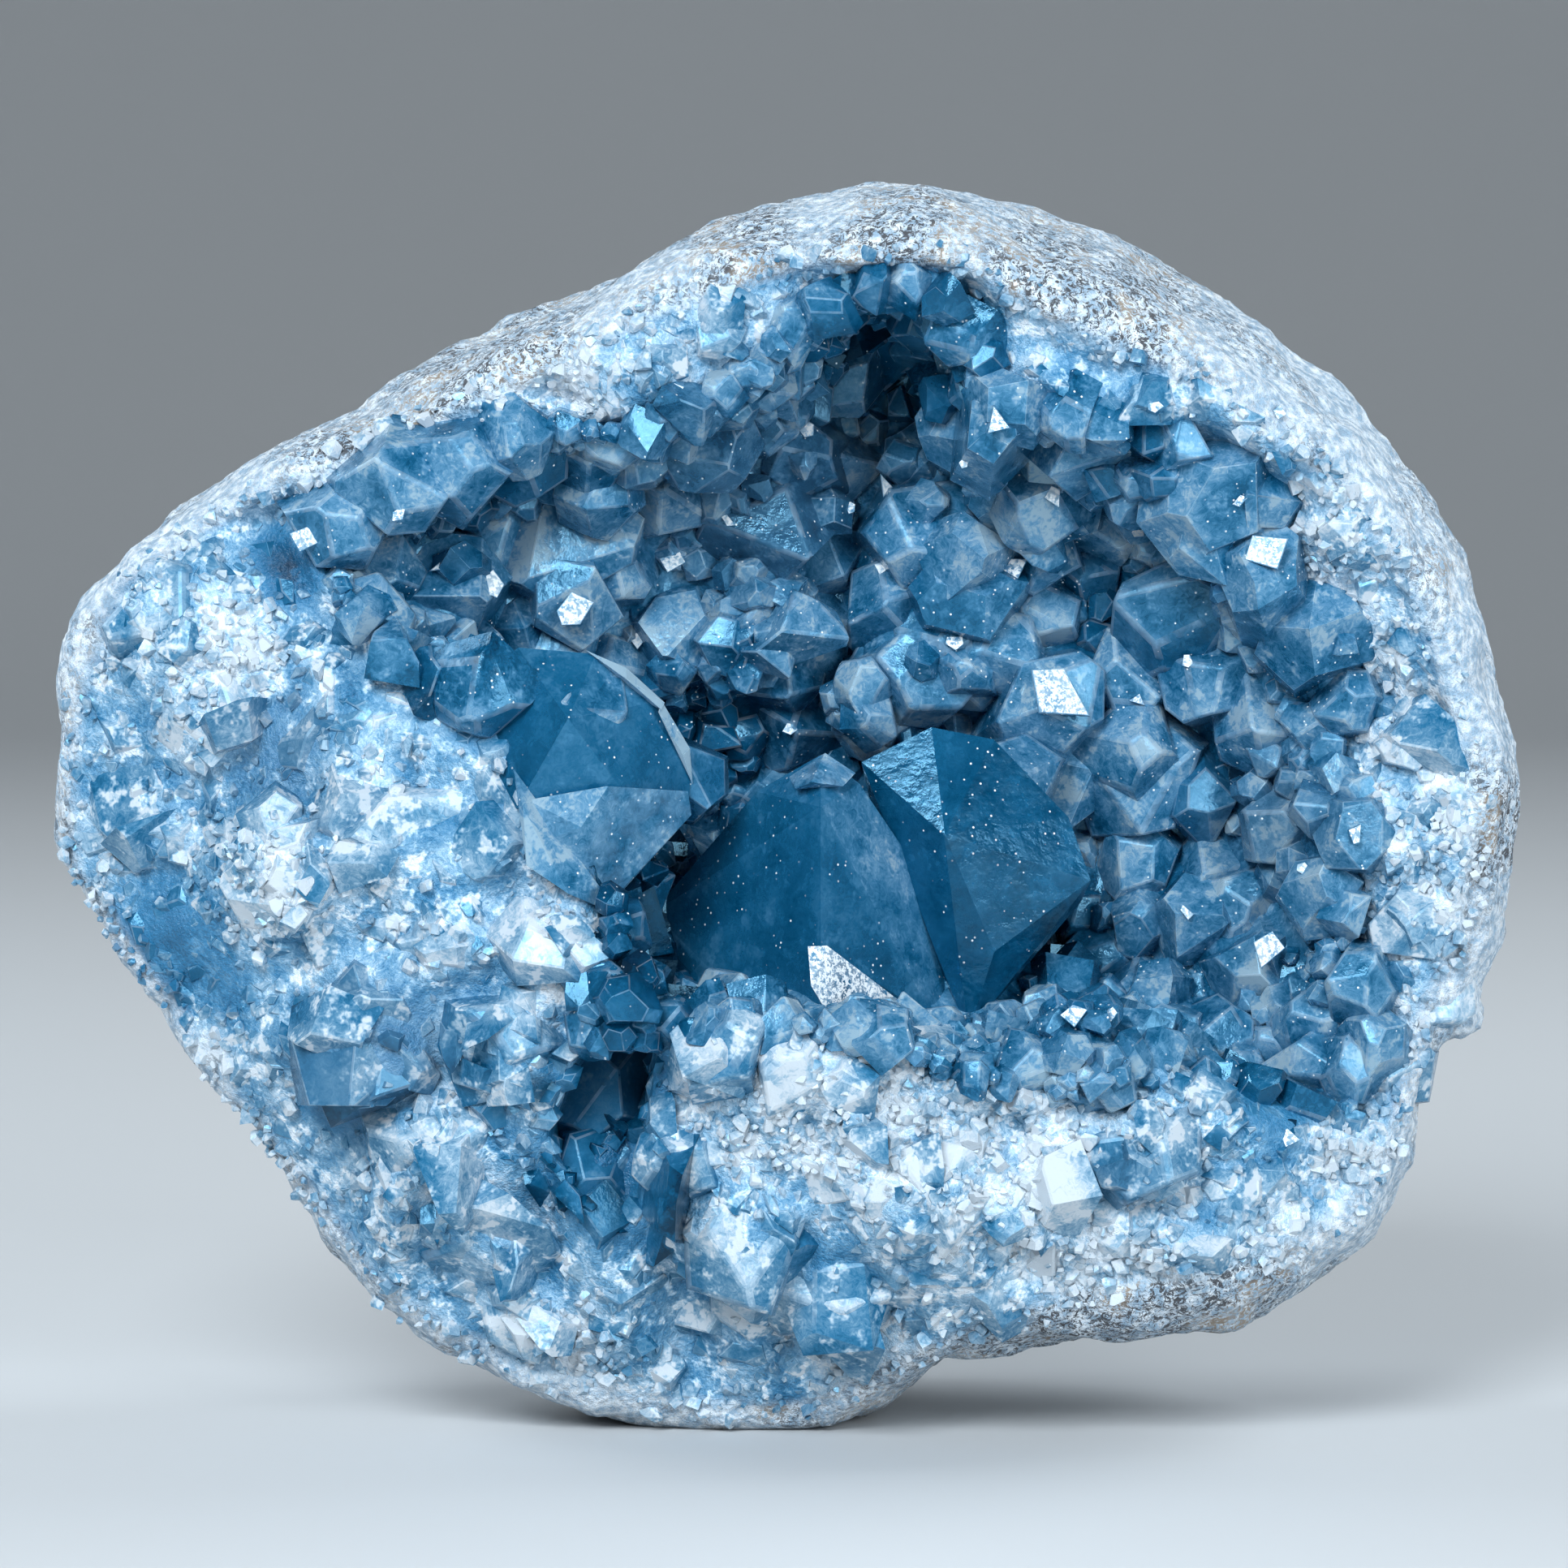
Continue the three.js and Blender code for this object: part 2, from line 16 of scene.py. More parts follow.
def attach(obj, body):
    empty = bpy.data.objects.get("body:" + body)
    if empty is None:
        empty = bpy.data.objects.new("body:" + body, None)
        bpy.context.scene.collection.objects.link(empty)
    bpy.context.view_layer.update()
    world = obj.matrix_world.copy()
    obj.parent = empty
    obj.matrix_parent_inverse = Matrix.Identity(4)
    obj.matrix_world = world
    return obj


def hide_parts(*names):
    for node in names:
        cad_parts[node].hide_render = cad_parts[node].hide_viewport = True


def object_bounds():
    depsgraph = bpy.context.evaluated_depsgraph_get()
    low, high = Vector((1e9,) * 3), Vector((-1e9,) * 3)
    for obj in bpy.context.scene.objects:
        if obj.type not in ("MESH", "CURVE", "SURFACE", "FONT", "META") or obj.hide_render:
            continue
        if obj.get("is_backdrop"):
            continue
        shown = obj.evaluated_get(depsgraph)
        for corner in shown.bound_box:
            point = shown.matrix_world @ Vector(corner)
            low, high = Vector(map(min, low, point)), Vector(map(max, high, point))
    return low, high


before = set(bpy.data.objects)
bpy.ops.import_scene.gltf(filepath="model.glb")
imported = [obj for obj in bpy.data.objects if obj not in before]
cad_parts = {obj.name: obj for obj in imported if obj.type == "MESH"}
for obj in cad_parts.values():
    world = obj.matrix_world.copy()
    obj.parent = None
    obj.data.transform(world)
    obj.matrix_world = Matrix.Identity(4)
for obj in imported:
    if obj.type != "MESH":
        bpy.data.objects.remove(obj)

logging.basicConfig(level=logging.INFO, format="%(name)s: %(message)s")
log = logging.getLogger("geode")

CAD_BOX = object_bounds()
BODY = "root"
SHELL_NODE = "geode_shell"
CRUST_NODE = "crystal_crust"

MM = 0.001
UP = Vector((0, 0, 1))
FORWARD = Vector((0, -1, 0))
FAR_IN_FRONT = -0.3  # the y, in metres, from which places are looked for
MODEL_SIZE = 10  # the width in mm of a crystal, ledge or grain that is copied

Colour = tuple[float, float, float]
Stops = tuple[tuple[float, Colour], ...]
Span = tuple[float, float]
Row = tuple[float, ...]


# ---- Modelling by hand ----


def deselect() -> None:
    """Leaves every object deselected and none active."""
    for chosen in bpy.context.selected_objects:
        chosen.select_set(False)
    bpy.context.view_layer.objects.active = None


def deselect_mesh(mesh: bpy.types.Mesh) -> None:
    """Deselects all of a mesh's vertices, edges and faces."""
    for elements in (mesh.vertices, mesh.edges, mesh.polygons):
        elements.foreach_set("select", [False] * len(elements))


def pick(*pieces: bpy.types.Object) -> None:
    """Selects these objects alone and makes the first one active.

    Args:
        pieces: The objects to select.
    """
    deselect()
    for piece in pieces:
        piece.select_set(True)
    bpy.context.view_layer.objects.active = pieces[0]


class Choice(Enum):
    """What edit mode works on, as its switches for vertices, edges and faces."""

    ALL = (True, False, False)
    EDGES = (False, True, False)
    FACES = (False, False, True)


@contextmanager
def editing(piece: bpy.types.Object, choice: Choice = Choice.ALL) -> Iterator[None]:
    """Opens one object in edit mode, and closes it at the end.

    Args:
        piece: The object to edit.
        choice: All of it, or the edges or faces that are selected already.

    Yields:
        Nothing.
    """
    pick(piece)
    bpy.context.tool_settings.mesh_select_mode = choice.value
    bpy.ops.object.mode_set(mode="EDIT")
    if choice is Choice.ALL:
        bpy.ops.mesh.select_all(action="SELECT")
    try:
        yield
    finally:
        bpy.ops.object.mode_set(mode="OBJECT")
        bpy.context.tool_settings.mesh_select_mode = Choice.ALL.value


def apply_modifier(piece: bpy.types.Object, kind: str, **settings: object) -> None:
    """Gives an object one modifier and applies it.

    Args:
        piece: The object to change.
        kind: The modifier's type.
        settings: The modifier's settings by name.
    """
    modifier = piece.modifiers.new(kind.lower(), kind)
    for name, value in settings.items():
        setattr(modifier, name, value)
    pick(piece)
    bpy.ops.object.modifier_apply(modifier=modifier.name)


def copy_of(source: bpy.types.Object, name: str) -> bpy.types.Object:
    """Copies an object with a mesh of its own.

    Args:
        source: The object to copy.
        name: The copy's name.

    Returns:
        The copy, which has no parent and no materials.
    """
    mesh = source.data.copy()
    mesh.materials.clear()
    piece = bpy.data.objects.new(name, mesh)
    bpy.context.scene.collection.objects.link(piece)
    return piece


def merged_node(node: str, name: str) -> bpy.types.Object:
    """Copies a CAD node and joins its loose triangles.

    Args:
        node: The CAD node's name.
        name: The copy's name.

    Returns:
        The copy, one closed mesh.
    """
    piece = copy_of(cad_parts[node], name)
    with editing(piece):
        bpy.ops.mesh.remove_doubles(threshold=0.001 * MM)
    for attribute in [a for a in piece.data.attributes if a.name == "sharp_face"]:
        piece.data.attributes.remove(attribute)
    while piece.data.uv_layers:
        piece.data.uv_layers.remove(piece.data.uv_layers[0])
    return piece


def joined(pieces: Sequence[bpy.types.Object]) -> bpy.types.Object:
    """Joins objects into the first of them.

    Args:
        pieces: The objects to join.

    Returns:
        The first object, which now holds all the meshes.
    """
    pick(*pieces)
    if len(pieces) > 1:
        bpy.ops.object.join()
    return pieces[0]


def combine(base: bpy.types.Object, other: bpy.types.Object) -> None:
    """Grows another solid together with a solid, and removes the other one.

    Args:
        base: The solid that is changed.
        other: The solid that is used up.
    """
    apply_modifier(base, "BOOLEAN", operation="UNION", object=other, solver="MANIFOLD")
    mesh = other.data
    bpy.data.objects.remove(other)
    bpy.data.meshes.remove(mesh)


def set_values(mesh: bpy.types.Mesh, name: str, values: Sequence[float], domain: str = "FACE") -> None:
    """Writes one number to each face, corner or vertex of a mesh.

    Args:
        mesh: The mesh.
        name: The attribute's name.
        values: The numbers.
        domain: FACE, CORNER or POINT.
    """
    attribute = mesh.attributes.get(name) or mesh.attributes.new(name, "FLOAT", domain)
    attribute.data.foreach_set("value", np.asarray(values, np.float32))


def rows_of(elements: bpy.types.bpy_prop_collection, name: str) -> np.ndarray:
    """Reads a vector of each element of a mesh, such as each vertex's place.

    Args:
        elements: The mesh's vertices or faces.
        name: The vector's name.

    Returns:
        The vectors, one a row.
    """
    rows = np.empty(len(elements) * 3)
    elements.foreach_get(name, rows)
    return rows.reshape(-1, 3)


# ---- Shader nodes ----


class Signal:
    """One output of a shader node, with arithmetic that adds Math nodes."""

    def __init__(self, graph: "Graph", socket: bpy.types.NodeSocket) -> None:
        """Wraps a socket of a graph."""
        self.graph = graph
        self.socket = socket

    def _math(self, operation: str, first: "Signal | float", second: "Signal | float") -> "Signal":
        """Adds a Math node on two values."""
        return self.graph.node("Math", {"operation": operation}, {0: first, 1: second})

    def __add__(self, other: "Signal | float") -> "Signal":
        """self + other"""
        return self._math("ADD", self, other)

    __radd__ = __add__

    def __sub__(self, other: "Signal | float") -> "Signal":
        """self - other"""
        return self._math("SUBTRACT", self, other)

    def __rsub__(self, other: float) -> "Signal":
        """other - self"""
        return self._math("SUBTRACT", other, self)

    def __mul__(self, other: "Signal | float") -> "Signal":
        """self * other"""
        return self._math("MULTIPLY", self, other)

    __rmul__ = __mul__

    def clamped(self) -> "Signal":
        """Keeps the value from 0 to 1."""
        return self.graph.node("Clamp", {}, {"Value": self})

    def between(self, low: float, high: float) -> "Signal":
        """Rises smoothly from 0 to 1.

        Args:
            low: Where it is 0.
            high: Where it is 1. Where this is less than low, the value falls.

        Returns:
            The new value.
        """
        settings = {"interpolation_type": "SMOOTHSTEP"}
        if low < high:
            return self.graph.node("MapRange", settings, {"Value": self, "From Min": low, "From Max": high})
        return 1 - self.between(high, low)


@dataclass(frozen=True)
class Pattern:
    """Soft noise: the size of its swells in mm, its octaves, how rough and how twisted it is.

    Where it has limits, it is a mask that rises from 0 to 1 between them.
    """

    size: float
    octaves: float = 2.0
    roughness: float = 0.5
    twist: float = 0.0
    limits: Span | None = None


class Graph:
    """The node tree of one material."""

    def __init__(self, name: str) -> None:
        """Makes a material with an empty tree.

        Args:
            name: The material's name.
        """
        self.material = bpy.data.materials.new(name)
        self.material.use_nodes = True
        self.tree = self.material.node_tree
        self.tree.nodes.clear()
        self.output = self.tree.nodes.new("ShaderNodeOutputMaterial")

    def node(
        self, kind: str, settings: dict[str, object], inputs: dict[str | int, object], out: str | int = 0
    ) -> Signal:
        """Adds a node.

        Args:
            kind: The node's type, without the word ShaderNode.
            settings: The node's own settings. stops are a colour ramp's places and colours.
            inputs: The value or the link of each socket, by name or number.
            out: The output that is wanted.

        Returns:
            That output.
        """
        made = self.tree.nodes.new("ShaderNode" + kind)
        for name, value in settings.items():
            if name == "stops":
                self._set_stops(made.color_ramp, value)
            else:
                setattr(made, name, value)
        for name, value in inputs.items():
            if isinstance(value, Signal):
                self.tree.links.new(value.socket, made.inputs[name])
            else:
                made.inputs[name].default_value = value
        return Signal(self, made.outputs[out])

    @staticmethod
    def _set_stops(ramp: bpy.types.ColorRamp, stops: Stops) -> None:
        """Sets a colour ramp's places and colours.

        Args:
            ramp: The ramp.
            stops: The places from 0 to 1 and their colours.
        """
        while len(ramp.elements) < len(stops):
            ramp.elements.new(1.0)
        for element, (place, colour) in zip(ramp.elements, stops):
            element.position = place
            element.color = (*colour, 1.0)

    def place(self) -> Signal:
        """The point on the piece, in metres."""
        return self.node("TexCoord", {}, {}, "Object")

    def attribute(self, name: str) -> Signal:
        """A number that the mesh holds."""
        return self.node("Attribute", {"attribute_name": name}, {}, "Fac")

    def noise(self, pattern: Pattern) -> Signal:
        """Adds soft noise.

        Args:
            pattern: The noise.

        Returns:
            Its value, or its mask where the pattern has limits.
        """
        inputs = {
            "Vector": self.place(), "Scale": 1 / (pattern.size * MM), "Detail": pattern.octaves,
            "Roughness": pattern.roughness, "Distortion": pattern.twist,
        }
        value = self.node("TexNoise", {}, inputs)
        return value.between(*pattern.limits) if pattern.limits else value

    def cells(self, size: float) -> Signal:
        """The distance from the middles of cells that are about size mm across."""
        return self.node("TexVoronoi", {}, {"Vector": self.place(), "Scale": 1 / (size * MM)})

    def ramp(self, value: Signal, stops: Stops) -> Signal:
        """A colour for each value, through given stops."""
        return self.node("ValToRGB", {"stops": stops}, {"Fac": value})

    def mix(self, share: "Signal | float", first: object, second: object) -> Signal:
        """A colour between two colours."""
        colours = [(*c, 1.0) if isinstance(c, tuple) else c for c in (first, second)]
        return self.node("Mix", {"data_type": "RGBA"}, {0: share, 6: colours[0], 7: colours[1]}, 2)

    def bump(self, height: Signal, strength: float, distance: float) -> Signal:
        """A normal that rises and falls with a height, by a distance in mm."""
        return self.node("Bump", {}, {"Height": height, "Strength": strength, "Distance": distance * MM})

    def finish(self, surface: Signal, volume: Signal | None = None) -> bpy.types.Material:
        """Connects the shaders to the material's output.

        Args:
            surface: The shader of the surface.
            volume: The shader of the inside, if there is one.

        Returns:
            The material.
        """
        self.tree.links.new(surface.socket, self.output.inputs["Surface"])
        if volume:
            self.tree.links.new(volume.socket, self.output.inputs["Volume"])
        return self.material


TONE = "tone"  # 0 is white, 1 is deep blue
SMOKE = "smoke"  # 0 is blue and 1 is grey
FROST = "frost"  # 0 is a clear facet and 1 a frosted one
LIFT = "lift"  # 0 is a root or a crevice and 1 a head; the colour is painted darker where it is low, as shade
RIND = "rind"  # 0 is broken celestite and 1 is rind
GRIME = "grime"  # 0 is clean rind and 1 is dark rind
SUGAR = "sugar"  # 0 is a smooth break and 1 sugary grains
INNER = "inner"  # 1 is inside a facet, before it is folded into the lift as painted shade

BLUES: Stops = (
    (0.0, (0.80, 0.88, 0.95)),
    (0.2, (0.40, 0.59, 0.75)),
    (0.4, (0.14, 0.33, 0.51)),
    (0.6, (0.030, 0.19, 0.37)),
    (0.8, (0.003, 0.10, 0.22)),
    (1.0, (0.001, 0.022, 0.055)),
)
CLEAR_BLUES: Stops = (
    (0.0, (0.55, 0.80, 0.98)),
    (0.2, (0.22, 0.52, 0.82)),
    (0.4, (0.08, 0.33, 0.60)),
    (0.6, (0.014, 0.19, 0.40)),
    (0.8, (0.001, 0.10, 0.23)),
    (1.0, (0.001, 0.022, 0.055)),
)
# painted shade in the crevices between sugary grains
CREVICE_SHADE_BLUE = BLUES[3][1]
SMOKE_GREY = (0.10, 0.17, 0.26)
FROST_WHITE = (0.92, 0.97, 1.0)

CLOUDS = Pattern(8, 2.0, 0.65)
STREAKS = Pattern(1.6, 3.0, 0.75, 1.5)
VEILS = Pattern(4.5, 3.0, 0.75, limits=(0.52, 0.66))
PATCHES = Pattern(3, 1.0, limits=(0.35, 0.65))
# where tiny white specks are painted as glints
GLINT_SPECK_PLACES = Pattern(8, 1.0, limits=(0.45, 0.65))
FROST_GRAINS = Pattern(0.8, 3.0, 0.85, limits=(0.47, 0.53))
CRYSTAL_RELIEF = Pattern(3, 4.0, 0.62)
DIRTY_PLACES = Pattern(26, 4.0, 0.65, limits=(0.46, 0.62))
FIBRES = Pattern(1.4, 4.0, 0.85, 1.2, (0.48, 0.55))
SPECKS = Pattern(0.5, 1.0, limits=(0.52, 0.60))
CHALK = Pattern(2.0, 4.0, 0.75, limits=(0.38, 0.64))
STAINS = Pattern(12, 2.0, limits=(0.5, 0.6))
RIND_RELIEF = Pattern(2.2, 4.0, 0.75)
PAPER = Pattern(400, 2.0)

NOISE_MEAN = 0.5
CLOUD_SHARE = 1.5
STREAK_SHARE = 1.1
SMOKE_SHARE = 0.5
CALM_TONES = (0.35, 0.6)  # over these tones the mottling fades
CALM = 0.65  # by this share
ROOT_SHADE = 0.3  # painted shade: how much darker in tone a root is than a head
FACET_MIDDLE_SHADE = 0.3  # painted shade: how much darker the middle of a facet is than its paler edges, as lift
FACET_SPREAD = 0.22  # how far the tones of one crystal's facets differ
# frosted rounded edges, partly a painted highlight where light catches them
FROSTED_EDGE_SHINE = 0.5


def celestite_colour(g: Graph, blues: Stops, mottle: float, veins: float) -> Signal:
    """The blue of celestite, mottled, with white veins, grey where it is smoky, and darker as painted shade
    where the lift is low.

    Args:
        g: The material's graph.
        blues: The colour for each tone.
        mottle: How strongly the tone varies.
        veins: How strongly white veins show.

    Returns:
        The colour.
    """
    cloud = g.noise(CLOUDS) - NOISE_MEAN
    streak = g.noise(STREAKS) - NOISE_MEAN
    veil = g.noise(VEILS)
    own = g.attribute(TONE)
    lively = 1 - own.between(*CALM_TONES) * CALM
    # painted shade: roots, crevices and the middles of facets, where the lift is low, are darkened
    sunk = (1 - g.attribute(LIFT)) * ROOT_SHADE
    tone = own + sunk + lively * ((cloud * CLOUD_SHARE + streak * STREAK_SHARE) * mottle - veil * veins)
    blue = g.ramp(tone.clamped(), blues)
    return g.mix(g.attribute(SMOKE) * SMOKE_SHARE, blue, SMOKE_GREY)


@dataclass(frozen=True)
class CelestiteFinish:
    """Clear blue crystal with cloudy veins, under frosted facets, white flaws and tiny white specks that are
    painted glints.

    Spacing and height are in mm. patch and grain are the parts that the patchy and the grainy mask add.
    """

    name: str
    blues: Stops
    clearness: float  # the share of the light that goes in
    mottle: float
    veins: float
    density: float = 0.0  # how strongly the inside absorbs, or 0 where its colour is on the surface alone
    glint_specked: bool = False
    ior: float = 1.62
    cover: float = 0.8  # how opaque the white is
    gloss: Colour = (0.34, 0.74, 1.0)
    gloss_level: float = 0.35
    tint: Colour = (0.22, 0.60, 0.86)
    clear_roughness: float = 0.12
    frost_roughness: float = 0.4
    patch_roughness: float = 0.12
    patch_white: float = 0.15
    grain_white: float = 0.9
    grainy_frost: Span = (0.7, 0.95)
    glint_speck_spacing: float = 1.5
    glint_speck_edge: Span = (0.15, 0.08)
    bump_strength: float = 0.4
    bump_height: float = 0.5

    def material(self) -> bpy.types.Material:
        """Builds the material.

        Returns:
            The material, see-through by transmission and index, and by absorption where it has a density.
        """
        g = Graph(self.name)
        frost = g.attribute(FROST)
        patchy = g.noise(PATCHES)
        glint_specks: Signal | float = 0.0
        # painted glints: tiny white specks at the cell middles, in patches
        if self.glint_specked:
            glint_specks = g.cells(self.glint_speck_spacing).between(*self.glint_speck_edge) * g.noise(GLINT_SPECK_PLACES)
        blue = celestite_colour(g, self.blues, self.mottle, self.veins)
        grainy = frost.between(*self.grainy_frost) * g.noise(FROST_GRAINS)
        white = (frost * patchy * self.patch_white + glint_specks + grainy * self.grain_white).clamped()
        frosting = frost * (self.frost_roughness - self.clear_roughness)
        rough = self.clear_roughness + frosting + patchy * self.patch_roughness
        normal = g.bump(g.noise(CRYSTAL_RELIEF), self.bump_strength, self.bump_height)
        clear_inputs = {
            "Base Color": g.mix(white, blue, FROST_WHITE),
            "Roughness": rough.clamped(),
            "IOR": self.ior,
            "Transmission Weight": self.clearness,
            "Specular IOR Level": self.gloss_level,
            "Specular Tint": (*self.gloss, 1.0),
            "Normal": normal,
        }
        clear = g.node("BsdfPrincipled", {}, clear_inputs)
        frost_inputs = {
            "Base Color": (*FROST_WHITE, 1.0),
            "Roughness": self.frost_roughness,
            "Normal": normal,
        }
        frosted = g.node("BsdfPrincipled", {}, frost_inputs)
        surface = g.node("MixShader", {}, {0: white * self.cover, 1: clear, 2: frosted})
        if not self.density:
            return g.finish(surface)
        volume = g.node("VolumeAbsorption", {}, {"Color": (*self.tint, 1.0), "Density": self.density})
        return g.finish(surface, volume)


@dataclass(frozen=True)
class NoduleFinish:
    """White-grey speckled rind, with milky blue celestite where it is broken.

    Spacing and height are in mm. Dirt makes the rind's fibres dark, and painted shade darkens the crevices
    between sugary grains.
    """

    name: str
    chalk: tuple[Colour, Colour] = ((0.28, 0.41, 0.54), (0.80, 0.87, 0.93))
    stain: tuple[Colour, Colour] = ((0.06, 0.065, 0.075), (0.30, 0.25, 0.20))
    patch_dirt: float = 0.6
    grime_dirt: float = 1.3
    clean_fibres: float = 0.14
    dirty_fibres: float = 0.95
    speck_share: float = 0.2
    grain_spacing: float = 1.7
    crevice_shade_level: float = 0.35
    crevice_shade_share: float = 1.2
    mottle: float = 0.8
    veins: float = 0.4
    ior: float = 1.5
    broken_roughness: float = 0.35
    rind_roughness: float = 0.8
    bump_strength: float = 0.8
    bump_height: float = 1.3

    def material(self) -> bpy.types.Material:
        """Builds the material.

        Returns:
            The material.
        """
        g = Graph(self.name)
        rind = g.attribute(RIND)
        dirt = (g.noise(DIRTY_PLACES) * self.patch_dirt + g.attribute(GRIME) * self.grime_dirt).clamped()
        fibres = g.noise(FIBRES) * (self.clean_fibres + dirt * self.dirty_fibres)
        stained = (fibres + g.noise(SPECKS) * self.speck_share).clamped()
        chalk = g.mix(g.noise(CHALK), *self.chalk)
        stain = g.mix(g.noise(STAINS), *self.stain)
        skin = g.mix(stained, chalk, stain)
        grains = g.cells(self.grain_spacing) * g.attribute(SUGAR)
        # painted shade: the borders of the grain cells are darkened as crevices
        crevice_shade = (grains - self.crevice_shade_level).clamped() * (1 - rind) * self.crevice_shade_share
        broken = g.mix(crevice_shade, celestite_colour(g, BLUES, self.mottle, self.veins), CREVICE_SHADE_BLUE)
        rough = self.broken_roughness + rind * (self.rind_roughness - self.broken_roughness)
        inputs = {
            "Base Color": g.mix(rind, broken, skin),
            "Roughness": rough.clamped(),
            "IOR": self.ior,
            "Normal": g.bump(g.noise(RIND_RELIEF), self.bump_strength, self.bump_height),
        }
        return g.finish(g.node("BsdfPrincipled", {}, inputs))


@dataclass(frozen=True)
class PaperFinish:
    """A plain matt floor that is hardly darker in places."""

    name: str
    colour: Colour
    shade: float = 0.97
    roughness: float = 0.6

    def material(self) -> bpy.types.Material:
        """Builds the material.

        Returns:
            The material.
        """
        g = Graph(self.name)
        colour = g.mix(g.noise(PAPER), self.colour, tuple(self.shade * c for c in self.colour))
        return g.finish(g.node("BsdfPrincipled", {}, {"Base Color": colour, "Roughness": self.roughness}))


# ---- What the geode is like from place to place ----


class Kind(Enum):
    """What a stretch is made of: tone, smoke, width of its blocks in mm, and share of sugary grains. The
    cleft and recess kinds are painted shade.
    """

    SUGAR = (0.03, 0.0, 6.0, 1.0)
    PALE = (0.23, 0.0, 10.0, 0.25)
    BLOCK = (0.41, 0.0, 12.0, 0.05)
    DEEP = (0.70, 0.0, 8.0, 0.0)
    # painted shade in recesses, over deep blue crystal
    CAVITY = (0.84, 0.0, 7.0, 0.0)
    # painted shade: near black, where gaps between crystals lie in shadow
    GAP = (1.0, 0.0, 7.0, 0.0)
    SMOKY = (0.55, 0.9, 7.0, 0.15)
    COMMON = (0.34, 0.08, 8.0, 0.3)


# Stretches as seen from the front: x and z of the middle and the radius, all in mm, and the kind.
STRETCHES: list[tuple[float, float, float, Kind]] = [
    # the left shoulder
    (-96, 135, 9, Kind.BLOCK), (-86, 127, 12, Kind.SUGAR), (-60, 120, 12, Kind.BLOCK),
    (-75, 113, 9, Kind.SMOKY), (-100, 112, 10, Kind.COMMON), (-108, 96, 8, Kind.PALE),
    (-62, 109, 8, Kind.SUGAR), (-50, 99, 12, Kind.BLOCK), (-78, 90, 10, Kind.SUGAR),
    (-50, 85, 13, Kind.PALE), (-94, 79, 11, Kind.DEEP), (-75, 67, 11, Kind.BLOCK),
    (-57, 66, 10, Kind.SMOKY), (-36, 65, 9, Kind.BLOCK), (-30, 84, 9, Kind.SUGAR),
    (-88, 60, 8, Kind.SUGAR), (-46, 47, 11, Kind.PALE), (-40, 32, 12, Kind.BLOCK),
    (-62, 36, 10, Kind.COMMON), (-46, 19, 10, Kind.COMMON), (-30, 12, 9, Kind.SUGAR),
    (-70, 45, 9, Kind.COMMON), (-66, 56, 6, Kind.GAP),
    # the bottom lip
    (-5, 56, 12, Kind.SUGAR), (12, 61, 10, Kind.SUGAR), (27, 55, 12, Kind.SUGAR), (10, 50, 10, Kind.SUGAR),
    (-11, 36, 13, Kind.BLOCK), (14, 34, 11, Kind.BLOCK), (42, 46, 13, Kind.SUGAR),
    (61, 43, 7, Kind.SMOKY), (70, 48, 9, Kind.PALE), (82, 57, 7, Kind.DEEP), (5, 68, 8, Kind.PALE),
    (24, 67, 9, Kind.PALE), (40, 63, 8, Kind.PALE),
    (20, 19, 13, Kind.PALE), (-10, 14, 11, Kind.BLOCK), (56, 29, 12, Kind.SUGAR),
    (84, 30, 9, Kind.SUGAR), (96, 44, 7, Kind.SUGAR),
    # the top band
    (-62, 151, 12, Kind.SUGAR), (-36, 170, 12, Kind.SUGAR), (-10, 180, 11, Kind.PALE),
    (12, 192, 9, Kind.PALE), (44, 181, 11, Kind.PALE), (62, 170, 12, Kind.BLOCK),
    (82, 158, 10, Kind.PALE),
    # the right side
    (86, 140, 11, Kind.SUGAR), (97, 124, 10, Kind.PALE), (106, 116, 8, Kind.SUGAR),
    (80, 150, 9, Kind.PALE), (77, 141, 8, Kind.SUGAR), (88, 128, 9, Kind.SUGAR), (97, 110, 9, Kind.PALE),
    (96, 78, 8, Kind.SUGAR), (92, 92, 7, Kind.PALE), (92, 66, 7, Kind.PALE),
    (110, 96, 10, Kind.SUGAR), (101, 85, 8, Kind.COMMON), (112, 69, 8, Kind.PALE),
    # in the hollow; the cleft and recess kinds are painted shade, and the deep kind here is partly deep blue
    # and partly painted shade
    (0, 155, 14, Kind.SMOKY), (30, 140, 16, Kind.BLOCK), (-32, 140, 14, Kind.BLOCK),
    (28, 175, 12, Kind.DEEP), (16, 180, 8, Kind.GAP), (-50, 148, 6, Kind.GAP), (-75, 141, 6, Kind.GAP),
    (-38, 157, 9, Kind.DEEP), (56, 132, 9, Kind.DEEP), (62, 160, 5, Kind.GAP), (85, 100, 10, Kind.SMOKY),
    (70, 120, 12, Kind.BLOCK), (-8, 112, 9, Kind.GAP), (-20, 82, 8, Kind.GAP), (-15, 62, 9, Kind.CAVITY),
    (50, 79, 8, Kind.GAP), (76, 105, 5, Kind.GAP), (80, 72, 10, Kind.COMMON), (62, 104, 8, Kind.PALE),
    (-27, 50, 9, Kind.CAVITY), (-24, 40, 7, Kind.CAVITY), (-18, 71, 8, Kind.CAVITY), (-22, 91, 6, Kind.GAP),
    (-46, 120, 6, Kind.DEEP),
]
COMMON_WEIGHT = 0.25
STRETCH_FALL = 1.4


class Trait(Enum):
    """The columns of what locals_at gives."""

    TONE = 0
    SMOKE = 1
    BLOCK = 2
    SUGAR = 3


